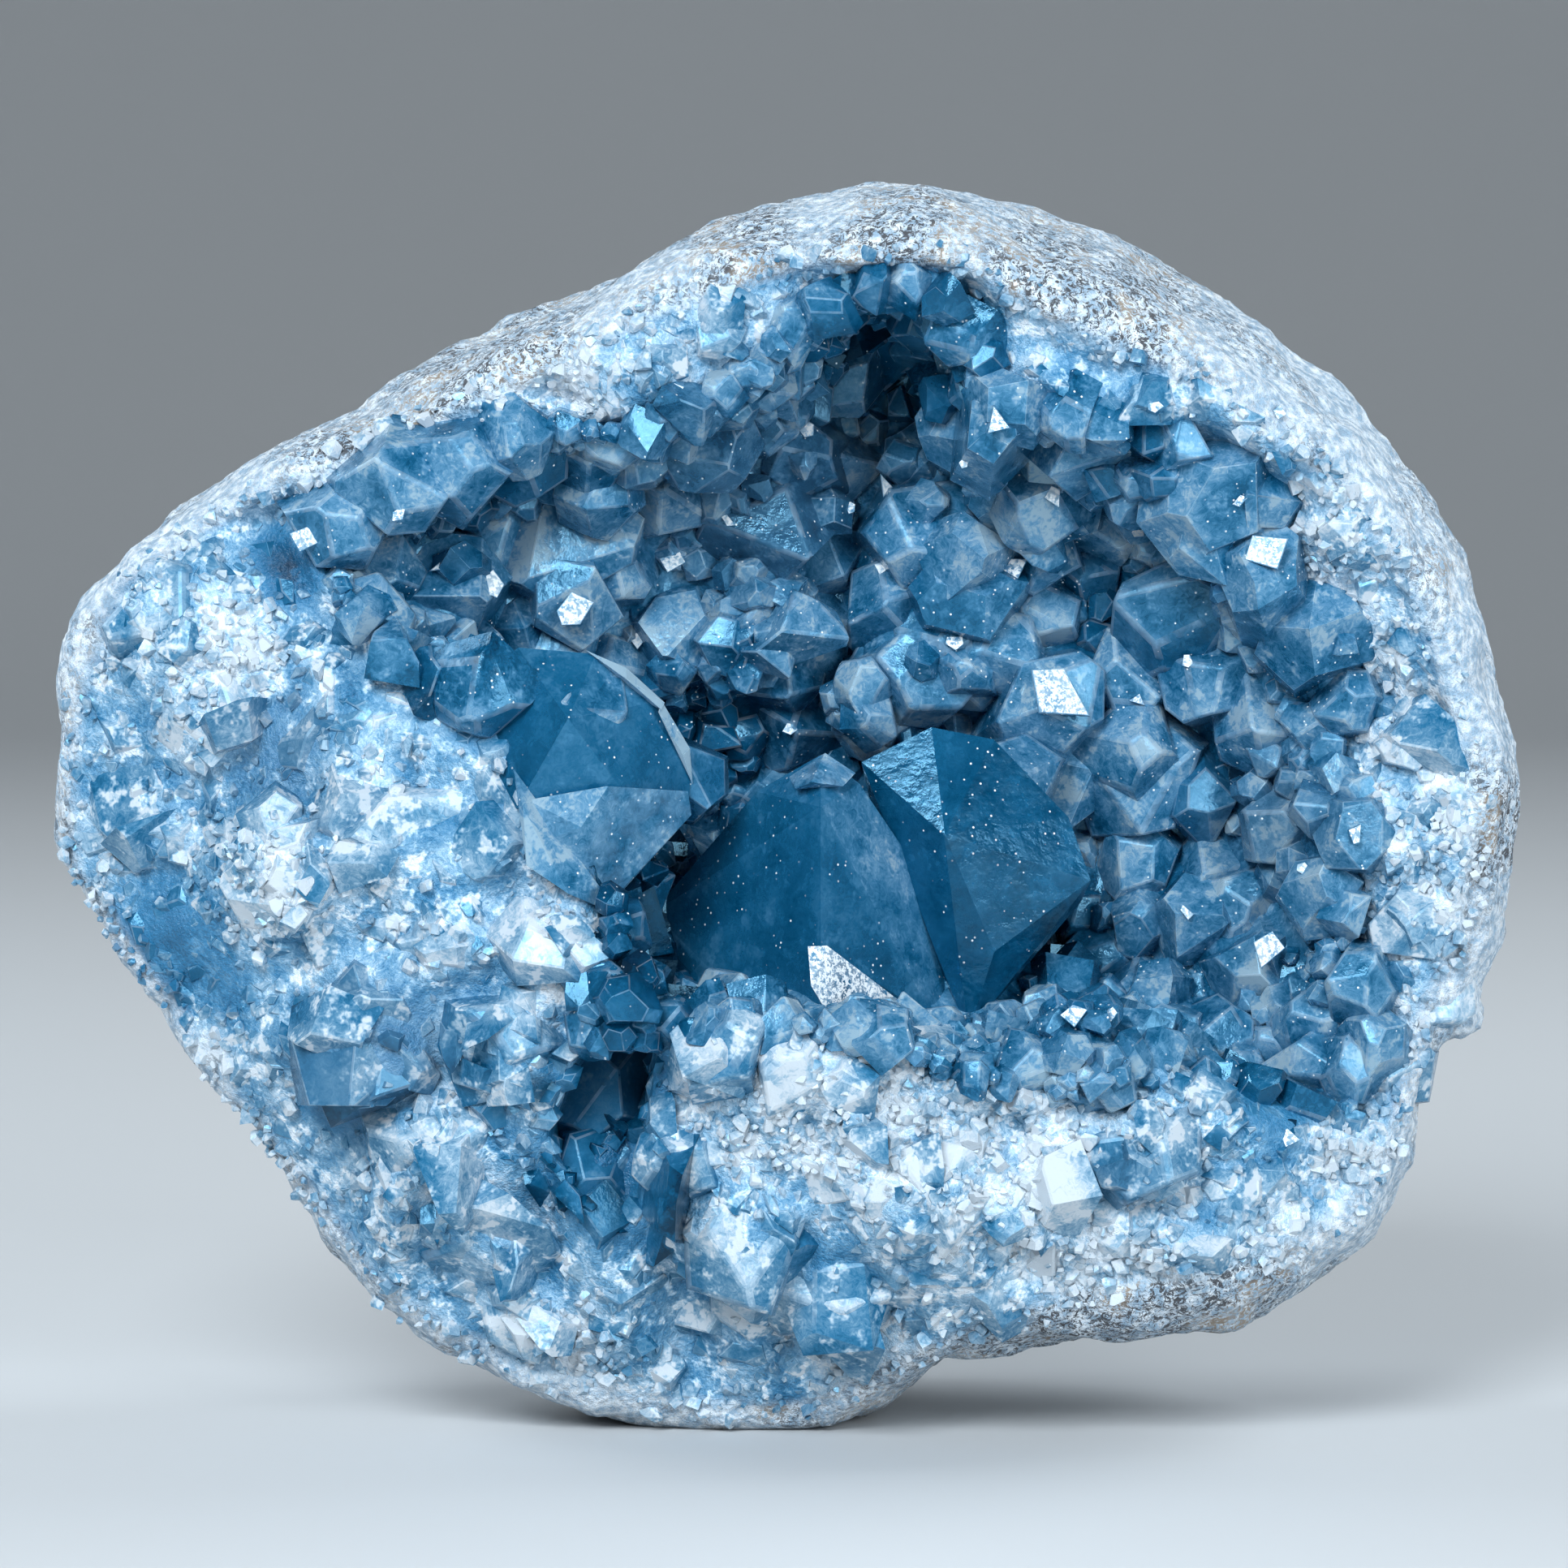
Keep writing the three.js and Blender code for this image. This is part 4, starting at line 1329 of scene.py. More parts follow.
# Small crystals with one white facet, frosted and partly a painted highlight, each [x, z, width, lean in x,
# lean in z].
WHITE_GLINT_FACETS: list[Row] = [
    (38, 165, 7, -0.1, 0.3), (21, 153, 6, 0.2, 0.3), (48, 152, 5, 0, 0.3), (41, 140, 7, -0.1, 0.5),
    (-43, 138, 5, 0.1, 0.3), (-30, 134, 8, 0, 0.2), (81, 144, 9, -0.2, 0.3), (49, 119, 13, 0.15, 0.25),
    (-14, 141, 5, 0, 0.3), (15, 150, 2.5, 0, 0.3), (8, 163, 4, 0, 0.4), (50, 71, 5, 0, 0.4),
    (-72, 146, 6, 0.2, 0.2), (83, 78, 7, 0, 0.2), (85, 50, 4, 0, 0.3), (63, 167, 3, 0, 0.3),
    (77, 152, 3, 0, 0.3), (98, 108, 3, 0, 0.3), (5, 113, 3, 0, 0.3), (70, 125, 3, 0, 0.3),
    (83, 166, 3, 0, 0.3), (99, 125, 4, 0, 0.3), (106, 112, 3, 0, 0.2), (62, 146, 3, 0.1, 0.3),
    (-57, 150, 3, 0.1, 0.3), (-52, 141, 4, 0.1, 0.2), (-5, 148, 3, 0, 0.3), (20, 140, 3, 0, 0.3),
    (-20, 128, 3, 0, 0.3), (32, 128, 3.5, 0.1, 0.3), (62, 118, 3.5, 0, 0.2), (88, 92, 3, 0, 0.3),
    (33, 158, 2.5, 0, 0.3), (96, 98, 4, 0, 0.3), (70, 84, 3, 0, 0.3), (56, 71, 3, 0, 0.3),
]


@dataclass(frozen=True)
class Trim:
    """How the edges of a giant or a flake are worked, in mm.

    The skin is how far it stands over its corners, and fade how far its facets' inner corners lie in.
    """

    skin: float
    rounding: float
    strips: int
    # frosted edges, partly a painted highlight
    frosted_edge_shine: float
    fade: float


GIANT_TRIM = Trim(0.3, 2.0, 4, 0.15, 3.5)
FLAKE_TRIM = Trim(0.05, 0.25, 3, FROSTED_EDGE_SHINE, 0.8)
GIANT_REACH = 25  # in mm from the middle to a corner, past which a solid is trimmed as a giant
GIANT_BLANK = 200
SHIELD_BLANK = 60


@dataclass
class Lining:
    """The lining between the crystals, painted dark as shade: the crust, worn down and sunk a little, in mm.
    """

    voxel: float = 2.2
    softness: float = 0.5
    rounds: int = 14
    sunk: float = 1.2
    paler: float = 0.1

    def build(self) -> bpy.types.Object:
        """Models the lining.

        Returns:
            The solid, with its colour on its faces.
        """
        base = merged_node(CRUST_NODE, "druse")
        apply_modifier(base, "REMESH", mode="VOXEL", voxel_size=self.voxel * MM)
        apply_modifier(base, "SMOOTH", factor=self.softness, iterations=self.rounds)
        apply_modifier(base, "DISPLACE", strength=-self.sunk * MM, mid_level=0.0)
        mesh = base.data
        traits = locals_at(rows_of(mesh.polygons, "center"))
        set_values(mesh, TONE, traits[:, Trait.TONE.value] - self.paler)
        set_values(mesh, SMOKE, traits[:, Trait.SMOKE.value])
        set_values(mesh, FROST, np.zeros(len(traits)))
        # painted shade: a lift of 0 darkens the whole lining as a crevice
        set_values(mesh, LIFT, np.zeros(len(mesh.loops)), "CORNER")
        return base


FLATNESS = 1e-7  # corners this near a plane, in metres, lie in it
SAME_PLANE = 1e-6  # two faces nearer than this, in metres, and turned less than SAME_TURN are one
SAME_TURN = 1e-3
LEAST_CROSS = 1e-10  # three corners with less area than this, in square metres, are in a line


def outer_planes(points: list[Vector]) -> Iterator[tuple[Vector, Vector]]:
    """Finds the flat faces of the smallest solid round some corners.

    Args:
        points: The corners.

    Yields:
        A point on each face and the face's outward normal.
    """
    found: list[tuple[float, Vector]] = []
    for first, second, third in itertools.combinations(points, 3):
        normal = (second - first).cross(third - first)
        if normal.length < LEAST_CROSS:
            continue
        normal.normalize()
        heights = [(point - first).dot(normal) for point in points]
        if min(heights) < -FLATNESS and max(heights) > FLATNESS:
            continue
        outward = normal if max(heights) <= FLATNESS else -normal
        distance = first.dot(outward)
        if all(abs(distance - d) > SAME_PLANE or (outward - n).length > SAME_TURN for d, n in found):
            found.append((distance, outward))
            yield first, outward


@dataclass(frozen=True)
class Fillers:
    """How small crystals grow between the large ones, in mm. Gap and rise are shares of the width."""

    kinds: int = 14
    pointed_every: int = 4
    model_width: Span = (0.9, 1.1)
    model_thickness: Span = (0.7, 1.0)
    model_length: float = 9
    bevel: float = 0.5
    tries: int = 16000
    front: float = 0.25
    widest: float = 13
    sizes: tuple[float, ...] = (0.6, 0.9, 1.3)
    size_spread: Span = (0.85, 1.15)
    sugary: float = 0.4
    sugary_size: float = 0.6
    gap: float = 0.62
    forward: float = 0.5
    lean: float = 0.45
    rise: float = 0.4
    palest: float = 0.2
    tone_spread: Span = (-0.27, 0.02)

    def models(self, chance: random.Random) -> list[bpy.types.Object]:
        """Models the crystals that are copied.

        Args:
            chance: The source of their irregularities.

        Returns:
            The models.
        """
        return [
            Habit(
                MODEL_SIZE * chance.uniform(*self.model_width),
                MODEL_SIZE * chance.uniform(*self.model_thickness),
                self.model_length, chance.choice((5, 6)), i % self.pointed_every == 0, self.bevel, 1,
            ).build("small_crystal", chance)
            for i in range(self.kinds)
        ]


@dataclass(frozen=True)
class Shield:
    """A flat, uneven crystal with one white facet, frosted and partly a painted highlight. Its sizes are
    shares of its width.
    """

    side_counts: tuple[int, ...] = (3, 4, 4, 5)
    turn: Span = (-0.28, 0.28)
    half_width: float = 0.52
    half_height: float = 0.42
    reach: Span = (0.75, 1.05)
    root: Row = (0.1, 0, -0.7)
    floor: float = -0.1
    bevel: float = 0.03
    rise: float = 0.2
    roll: float = 40  # in degrees for each mm of x
    side_tone: float = 0.3
    facet_tone: float = 0.1

    def build(self, width: float, chance: random.Random) -> bpy.types.Object:
        """Models the crystal with its facet at the origin and its root below.

        Args:
            width: Its width, in mm.
            chance: The source of its irregularities.

        Returns:
            The crystal.
        """
        sides = chance.choice(self.side_counts)
        turns = [math.tau * (i + chance.uniform(*self.turn)) / sides for i in range(sides)]
        corners = [
            Vector((self.half_width * math.cos(turn), self.half_height * math.sin(turn), 0))
            * chance.uniform(*self.reach) * width * MM
            for turn in turns
        ]
        corners.append(Vector(self.root) * width * MM)
        crystal = block("white_glint_crystal", SHIELD_BLANK)
        cut_facets(crystal, outer_planes(corners))
        round_upper_edges(crystal, self.floor * width, self.bevel * width, 2)
        return crystal


@dataclass
class Druse:
    """The crust of crystals that lines the hollow, with the giants, as one solid.

    Sizes are in mm. What is given as a share is a share of the crystal's width.
    """

    crust: Ground
    shell: Ground
    seed: int = 29
    root: float = 9.0
    swell: float = 1.15
    rise: float = 0.4
    side_counts: tuple[int, ...] = (5, 6, 6, 7)
    pointed_share: float = 0.25
    bevel_share: float = 0.045
    fade_share: float = 0.09
    tone_spread: Span = (-0.27, 0.0)
    palest: float = 0.24
    giant_margin: float = 3.5
    crystal_margin: float = 0.9

    def build(self) -> bpy.types.Object:
        """Models the druse.

        Returns:
            The piece.
        """
        chance = random.Random(self.seed)
        base = Lining().build()
        growths = [self._large(row, chance) for row in HOLLOW_CRYSTALS]
        growths += [self._giant(name, *traits) for name, traits in GIANTS.items()]
        growths += self._fillers(growths, Fillers(), chance)
        growths += [self._white_glint(row, Shield(), growths, chance) for row in WHITE_GLINT_FACETS]
        return grow_together(base, growths)

    def _large(self, row: Row, chance: random.Random) -> Growth:
        """Stands one listed crystal on the crust.

        Args:
            row: The crystal's row.
            chance: The source of its irregularities.

        Returns:
            The crystal.
        """
        x, z, width, thickness, stand, lean_x, lean_z, roll = row
        seat = self.crust.seen_at(x * MM, z * MM) or self.shell.seen_at(x * MM, z * MM)
        habit = Habit(
            self.swell * width, self.swell * thickness, stand + self.root, chance.choice(self.side_counts),
            chance.random() < self.pointed_share, self.bevel_share * width, 3,
        )
        crystal = habit.build("crystal", chance)
        fade_facets(crystal, self.fade_share * width)
        head = seat + FORWARD * self.rise * MM
        place = standing(head, Vector((lean_x, -1, lean_z)), roll)
        like = local_at(head)
        tone = max(self.palest, like[Trait.TONE.value] + chance.uniform(*self.tone_spread))
        return set_down(crystal, place, tone, like[Trait.SMOKE.value])

    def _white_glint(self, row: Row, shield: Shield, others: list[Growth], chance: random.Random) -> Growth:
        """Stands a small crystal with a white facet, partly a painted highlight, on whatever is foremost
        there.

        Args:
            row: The crystal's row.
            shield: Its form.
            others: The crystals that it may stand on.
            chance: The source of its irregularities.

        Returns:
            The crystal.
        """
        x, z, width, lean_x, lean_z = row
        eye = Vector((x * MM, FAR_IN_FRONT, z * MM))
        seats = [self.crust.seen_at(eye.x, eye.z), self.shell.seen_at(eye.x, eye.z)]
        for other in others:
            if math.hypot(other.centre.x - eye.x, other.centre.z - eye.z) < other.reach:
                seats.append(solid_tree(other.piece).ray_cast(eye, -FORWARD)[0])
        seat = min((seat for seat in seats if seat), key=lambda seat: seat.y)
        crystal = shield.build(width, chance)
        head = seat + FORWARD * shield.rise * width * MM
        lean = Vector((lean_x, -1, lean_z))
        growth = set_down(crystal, standing(head, lean, shield.roll * x), shield.side_tone, 0.0)
        # painted highlight: the large facet that faces forward is made white and frosted
        facing = max(crystal.data.polygons, key=lambda p: p.area * p.normal.dot(lean))
        crystal.data.attributes[TONE].data[facing.index].value = shield.facet_tone
        crystal.data.attributes[FROST].data[facing.index].value = 1.0
        return growth

    @staticmethod
    def _giant(name: str, tone: float, frost: float, corners: list[Row]) -> Growth:
        """Cuts one giant or flake out of a block along the flat faces between its corners.

        Args:
            name: The object's name.
            tone: How deep its blue is.
            frost: How frosted it is all over, or 0 where its edges alone are.
            corners: Its corners, in mm.

        Returns:
            The giant.
        """
        points = [Vector(corner) * MM for corner in corners]
        centre = sum(points, Vector()) / len(points)
        giant = block(name, GIANT_BLANK, centre)
        large = max((point - centre).length for point in points) > GIANT_REACH * MM
        trim = GIANT_TRIM if large else FLAKE_TRIM
        planes = outer_planes(points)
        cut_facets(giant, [(point + normal * trim.skin * MM, normal) for point, normal in planes])
        round_upper_edges(giant, -math.inf, trim.rounding, trim.strips, trim.frosted_edge_shine)
        fade_facets(giant, trim.fade)
        if frost:
            set_values(giant.data, FROST, [frost] * len(giant.data.polygons))
        set_lift(giant, 0.0)
        return set_down(giant, Matrix.Identity(4), tone, 0.0)

    def _fillers(self, large: list[Growth], fillers: Fillers, chance: random.Random) -> list[Growth]:
        """Grows small crystals all over the crust between the large ones.

        Args:
            large: The large crystals.
            fillers: How the small ones grow.
            chance: The source of their irregularities.

        Returns:
            The small crystals.
        """
        models = fillers.models(chance)
        solids = [solid_tree(growth.piece) for growth in large]
        front = self.crust.normals[:, 1] < fillers.front
        spacing = Spacing(fillers.widest)
        growths: list[Growth] = []
        for raw, normal, like in zip(*self.crust.scatter(fillers.tries, self.seed, front)):
            point, outward = Vector(raw), Vector(normal)
            size = chance.choice(fillers.sizes) * chance.uniform(*fillers.size_spread)
            width = size * like[Trait.BLOCK.value]
            if like[Trait.SUGAR.value] > fillers.sugary:
                width *= fillers.sugary_size
            if self._covered(point, large, solids) or not spacing.takes(point, fillers.gap * width):
                continue
            growth = outward + FORWARD * fillers.forward + jitter(chance, fillers.lean)
            piece = copy_of(chance.choice(models), "small_crystal")
            head = point + growth.normalized() * fillers.rise * width * MM
            place = standing(head, growth, chance.uniform(0, 180), width)
            tone = max(fillers.palest, like[Trait.TONE.value] + chance.uniform(*fillers.tone_spread))
            growths.append(set_down(piece, place, tone, like[Trait.SMOKE.value]))
        for model in models:
            bpy.data.objects.remove(model)
        return growths

    def _covered(self, point: Vector, large: list[Growth], solids: list[BVHTree]) -> bool:
        """Tells whether a point lies in a large crystal or close to its surface.

        Args:
            point: The point.
            large: The large crystals.
            solids: Their surfaces, in the same order.

        Returns:
            Whether it does.
        """
        for growth, tree in zip(large, solids):
            margin = (self.giant_margin if growth.piece.name in GIANTS else self.crystal_margin) * MM
            if (growth.centre - point).length > growth.reach + margin:
                continue
            found, normal, _, distance = tree.find_nearest(point)
            if distance < margin or (point - found).dot(normal) < 0:
                return True
        return False


@dataclass(frozen=True)
class Ledges:
    """The broken ledges: sizes in mm and pitches in degrees, and gaps as shares of the width."""

    kinds: int = 16
    blank: float = 16
    root: float = 4
    sides: int = 5
    side_turn: Span = (-0.3, 0.3)
    side_pitch: Span = (50, 85)
    side_reach: Span = (3.4, 5.4)
    top_pitches: tuple[Span, ...] = ((2, 16), (18, 38), (25, 50))
    top_reach: Span = (1.4, 2.2)
    floor: float = -1.5
    bevel: float = 0.25
    tries: int = 18000
    margin: float = 0.5
    widest: float = 22
    sizes: tuple[float, ...] = (0.3, 0.4, 0.7, 1.1, 1.6)
    size_spread: Span = (0.8, 1.2)
    rim_gap: float = 0.4
    floor_gap: float = 0.7
    gap: float = 0.52
    lean: float = 0.3
    sunk: float = 0.06
    sunk_slope: float = 0.008
    tone_spread: Span = (-0.16, 0.12)

    def model(self, chance: random.Random) -> bpy.types.Object:
        """Models one broken block whose top stands a little out of the ground.

        Args:
            chance: The source of its irregularities.

        Returns:
            The model.
        """
        ledge = block("ledge", self.blank)
        cuts = [(Vector((0, 0, -self.root * MM)), -UP)]
        for i in range(self.sides):
            around = math.tau * (i + chance.uniform(*self.side_turn)) / self.sides
            normal = slanted(around, math.radians(chance.uniform(*self.side_pitch)))
            cuts.append((normal * chance.uniform(*self.side_reach) * MM, normal))
        for pitches in self.top_pitches:
            pitch, around = math.radians(chance.uniform(*pitches)), chance.uniform(0, math.tau)
            normal = slanted(around, pitch)
            cuts.append((normal * chance.uniform(*self.top_reach) * MM, normal))
        cut_facets(ledge, cuts)
        round_upper_edges(ledge, self.floor, self.bevel, 1)
        return ledge


@dataclass(frozen=True)
class Grains:
    """The sugary grains: sizes in mm. Along the rim they are a band rim_width wide."""

    kinds: int = 8
    blank: float = 9
    facets: int = 9
    facet_reach: Span = (2.6, 4.4)
    frost: float = 0.6
    tries: int = 60000
    margin: float = -3.0
    widest: float = 3
    width: float = 1.2
    growth: float = 1.8
    rim_share: float = 0.7
    rim_width: float = 8
    facing: float = -0.35
    floor_gap: float = 2
    gap: float = 0.72
    rise: Span = (-0.2, 0.9)
    paler: float = 0.08
    tone_spread: Span = (-0.1, 0.15)

    def model(self, chance: random.Random) -> bpy.types.Object:
        """Models one grain by cutting corners off a block.

        Args:
            chance: The source of its irregularities.

        Returns:
            The model.
        """
        grain = block("grain", self.blank)
        cuts = []
        for _ in range(self.facets):
            normal = Vector([chance.gauss(0, 1) for _ in "xyz"]).normalized()
            cuts.append((normal * chance.uniform(*self.facet_reach) * MM, normal))
        cut_facets(grain, cuts)
        set_values(grain.data, FROST, [chance.random() * self.frost for _ in grain.data.polygons])
        set_lift(grain, 0.0)
        return grain


@dataclass
class BrokenFace:
    """The blocks, ledges and sugary grains of the broken face. Sizes are in mm."""

    shell: Ground
    crust: Ground
    seed: int = 11
    deepest: float = 0.75
    front: float = -0.03
    hidden: float = 1
    swell: float = 1.1
    block_root: float = 6
    block_rise: float = 0.3
    flush_stand: float = 4
    bevel_share: float = 0.07
    block_tones: Span = (-0.12, 0.06)

    def build(self) -> list[bpy.types.Object]:
        """Models the blocks and grains.

        Returns:
            The pieces.
        """
        chance = random.Random(self.seed)
        ledges, grains = Ledges(), Grains()
        ledge_models = [ledges.model(chance) for _ in range(ledges.kinds)]
        blocks = [self._block(row, chance) for row in FACE_CRYSTALS]
        blocks += self._ledges(ledge_models, ledges, chance)
        coarse = grow_together(None, blocks)
        coarse.name = "broken_face_blocks"
        grain_models = [grains.model(chance) for _ in range(grains.kinds)]
        fine = grow_together(None, self._grains(grain_models, grains, chance))
        fine.name = "broken_face_grains"
        for model in ledge_models + grain_models:
            bpy.data.objects.remove(model)
        return [coarse, fine]

    def _block(self, row: Row, chance: random.Random) -> Growth:
        """Stands one listed block on the broken face.

        Args:
            row: The block's row.
            chance: The source of its irregularities.

        Returns:
            The block.
        """
        x, z, width, thickness, stand, lean_x, lean_z, roll = row
        seat = self.shell.seen_at(x * MM, z * MM)
        habit = Habit(
            self.swell * width, self.swell * thickness, stand + self.block_root, chance.choice((5, 6)),
            bevel=self.bevel_share * width, segments=3,
        )
        crystal = habit.build("block", chance)
        head = seat + FORWARD * (self.block_rise + max(0.0, stand - self.flush_stand)) * MM
        place = standing(head, Vector((lean_x, -1, lean_z)), roll)
        like = local_at(head)
        tone = like[Trait.TONE.value] + chance.uniform(*self.block_tones)
        return set_down(crystal, place, tone, like[Trait.SMOKE.value])

    def _places(
        self, tries: int, seed: int, margin: float
    ) -> Iterator[tuple[Vector, Vector, np.ndarray, float]]:
        """Draws places all over the broken face.

        Args:
            tries: How many are drawn.
            seed: The seed of the draw.
            margin: How far inside the rind's edge they start, in mm.

        Yields:
            Each place, its normal, its traits and how far it lies inside the rind's edge.
        """
        keep = self.shell.normals[:, 1] < self.front
        points, normals, traits = self.shell.scatter(tries, seed, keep)
        edges = inside_rind_edge(points[:, 0], points[:, 2])
        for raw, normal, like, edge in zip(points, normals, traits, edges):
            druse = self.crust.seen_at(raw[0], raw[2])
            clear = not druse or druse.y > raw[1] - self.hidden * MM
            if edge > margin and like[Trait.TONE.value] < self.deepest and clear:
                yield Vector(raw), Vector(normal), like, edge

    def _over_druse(self, point: Vector, reach: float) -> bool:
        """Tells whether a ledge at a point would hang over the druse.

        Args:
            point: The ledge's middle.
            reach: Its half width, in mm.

        Returns:
            Whether the druse is foremost on any side of it.
        """
        reach *= MM
        for x, z in ((reach, 0), (-reach, 0), (0, reach), (0, -reach)):
            druse = self.crust.seen_at(point.x + x, point.z + z)
            shell = self.shell.seen_at(point.x + x, point.z + z)
            if druse and (not shell or druse.y < shell.y):
                return True
        return False

    def _ledges(self, models: list[bpy.types.Object], ledges: Ledges, chance: random.Random) -> list[Growth]:
        """Sets ledges all over the broken face.

        Args:
            models: The ledges that are copied.
            ledges: How they stand.
            chance: The source of their irregularities.

        Returns:
            The ledges.
        """
        spacing = Spacing(ledges.widest)
        growths = []
        for point, outward, like, edge in self._places(ledges.tries, self.seed, ledges.margin):
            size = chance.choice(ledges.sizes) * chance.uniform(*ledges.size_spread)
            width = size * like[Trait.BLOCK.value]
            if edge < ledges.rim_gap * width or point.z < ledges.floor_gap * width * MM:
                continue
            if self._over_druse(point, 0.5 * width) or not spacing.takes(point, ledges.gap * width):
                continue
            growth = outward + jitter(chance, ledges.lean)
            head = point - outward * (ledges.sunk_slope * width + ledges.sunk) * width * MM
            place = standing(head, growth, chance.uniform(0, 360), width)
            piece = copy_of(chance.choice(models), "ledge")
            tone = like[Trait.TONE.value] + chance.uniform(*ledges.tone_spread)
            growths.append(set_down(piece, place, tone, like[Trait.SMOKE.value]))
        return growths

    def _grains(self, models: list[bpy.types.Object], grains: Grains, chance: random.Random) -> list[Growth]:
        """Sets sugary grains where the broken face is sugary.

        Args:
            models: The grains that are copied.
            grains: How they lie.
            chance: The source of their irregularities.

        Returns:
            The grains.
        """
        spacing = Spacing(grains.widest)
        growths = []
        for point, outward, like, edge in self._places(grains.tries, self.seed + 1, grains.margin):
            width = grains.width * (1 + chance.random() ** 3 * grains.growth)
            share = max(like[Trait.SUGAR.value], grains.rim_share - abs(edge) / grains.rim_width) ** 2
            if outward.y > grains.facing or chance.random() > share or point.z < grains.floor_gap * MM:
                continue
            if not spacing.takes(point, grains.gap * width):
                continue
            growth = Vector([chance.gauss(0, 1) for _ in "xyz"])
            head = point + outward * chance.uniform(*grains.rise) * MM
            place = standing(head, growth, chance.uniform(0, 360), width)
            piece = copy_of(chance.choice(models), "grain")
            tone = like[Trait.TONE.value] - grains.paler + chance.uniform(*grains.tone_spread)
            growths.append(set_down(piece, place, tone, like[Trait.SMOKE.value]))
        return growths


@dataclass
class Nodule:
    """The body of the geode: the lumpy rind and the mass under the broken face. Sizes are in mm."""

    voxel: float = 1.5
    foot: float = 1.5
    rind_fade: Span = (-0.5, 1.5)
    lump_size: float = 9
    lump_height: float = 1.1
    lump_octaves: tuple[float, float, int] = (0.8, 2.1, 4)
    swell_size: float = 24
    swell_height: float = 2.0
    skin: float = 0.5
    broken_share: float = 0.4
    lift: float = 0.75

    def build(self) -> bpy.types.Object:
        """Models the nodule.

        Returns:
            The piece.
        """
        body = merged_node(SHELL_NODE, "nodule")
        apply_modifier(body, "REMESH", mode="VOXEL", voxel_size=self.voxel * MM, use_smooth_shade=True)
        mesh = body.data
        points, normals = rows_of(mesh.vertices, "co"), rows_of(mesh.vertices, "normal")
        ground = Ground(SHELL_NODE)
        back = np.array([ground.is_back(Vector(point)) for point in points])
        low, high = self.rind_fade
        inside = inside_rind_edge(points[:, 0], points[:, 2])
        rind = 1 - ~back * np.clip((inside - low) / (high - low), 0, 1)
        traits = locals_at(points)
        grime = np.zeros(len(points))
        for x, z, radius in DARK_PATCHES:
            grime = np.maximum(grime, np.exp(-reach_from(points, x, z, radius)) * ~back)
        self._swell(points, normals, rind)
        mesh.vertices.foreach_set("co", points.ravel())
        values = {
            RIND: rind, TONE: traits[:, Trait.TONE.value], SMOKE: traits[:, Trait.SMOKE.value],
            SUGAR: traits[:, Trait.SUGAR.value], LIFT: np.full(len(points), self.lift), GRIME: grime,
        }
        for name, numbers in values.items():
            set_values(mesh, name, numbers, "POINT")
        mesh.update()
        return body

    def _swell(self, points: np.ndarray, normals: np.ndarray, rind: np.ndarray) -> None:
        """Raises lumps on the body, but for its foot.

        Args:
            points: The body's points, which are moved.
            normals: Their normals.
            rind: Where the rind is.
        """
        for i, normal in enumerate(normals):
            if points[i, 2] > self.foot * MM:
                place = Vector(points[i])
                lump = noise.fractal(place / (self.lump_size * MM), *self.lump_octaves)
                lump = lump * self.lump_height * MM
                lump += noise.noise(place / (self.swell_size * MM)) * rind[i] * self.swell_height * MM
                share = self.broken_share + (1 - self.broken_share) * rind[i]
                points[i] += normal * (lump + self.skin * MM) * share


# ---- The studio ----


@dataclass(frozen=True)
class Lamp:
    """A square soft light: its place and side in metres, and its power in watts."""

    name: str
    place: Row
    size: float
    power: float


LAMPS = (
    Lamp("key", (-0.45, -1.3, 1.0), 0.7, 30.0),
    Lamp("fill", (0.9, -1.2, 0.5), 0.7, 13.0),
    Lamp("left_rim", (-1.2, 0.5, 0.9), 0.8, 12.0),
    Lamp("right_rim", (1.1, 0.6, 1.0), 0.8, 12.0),
)


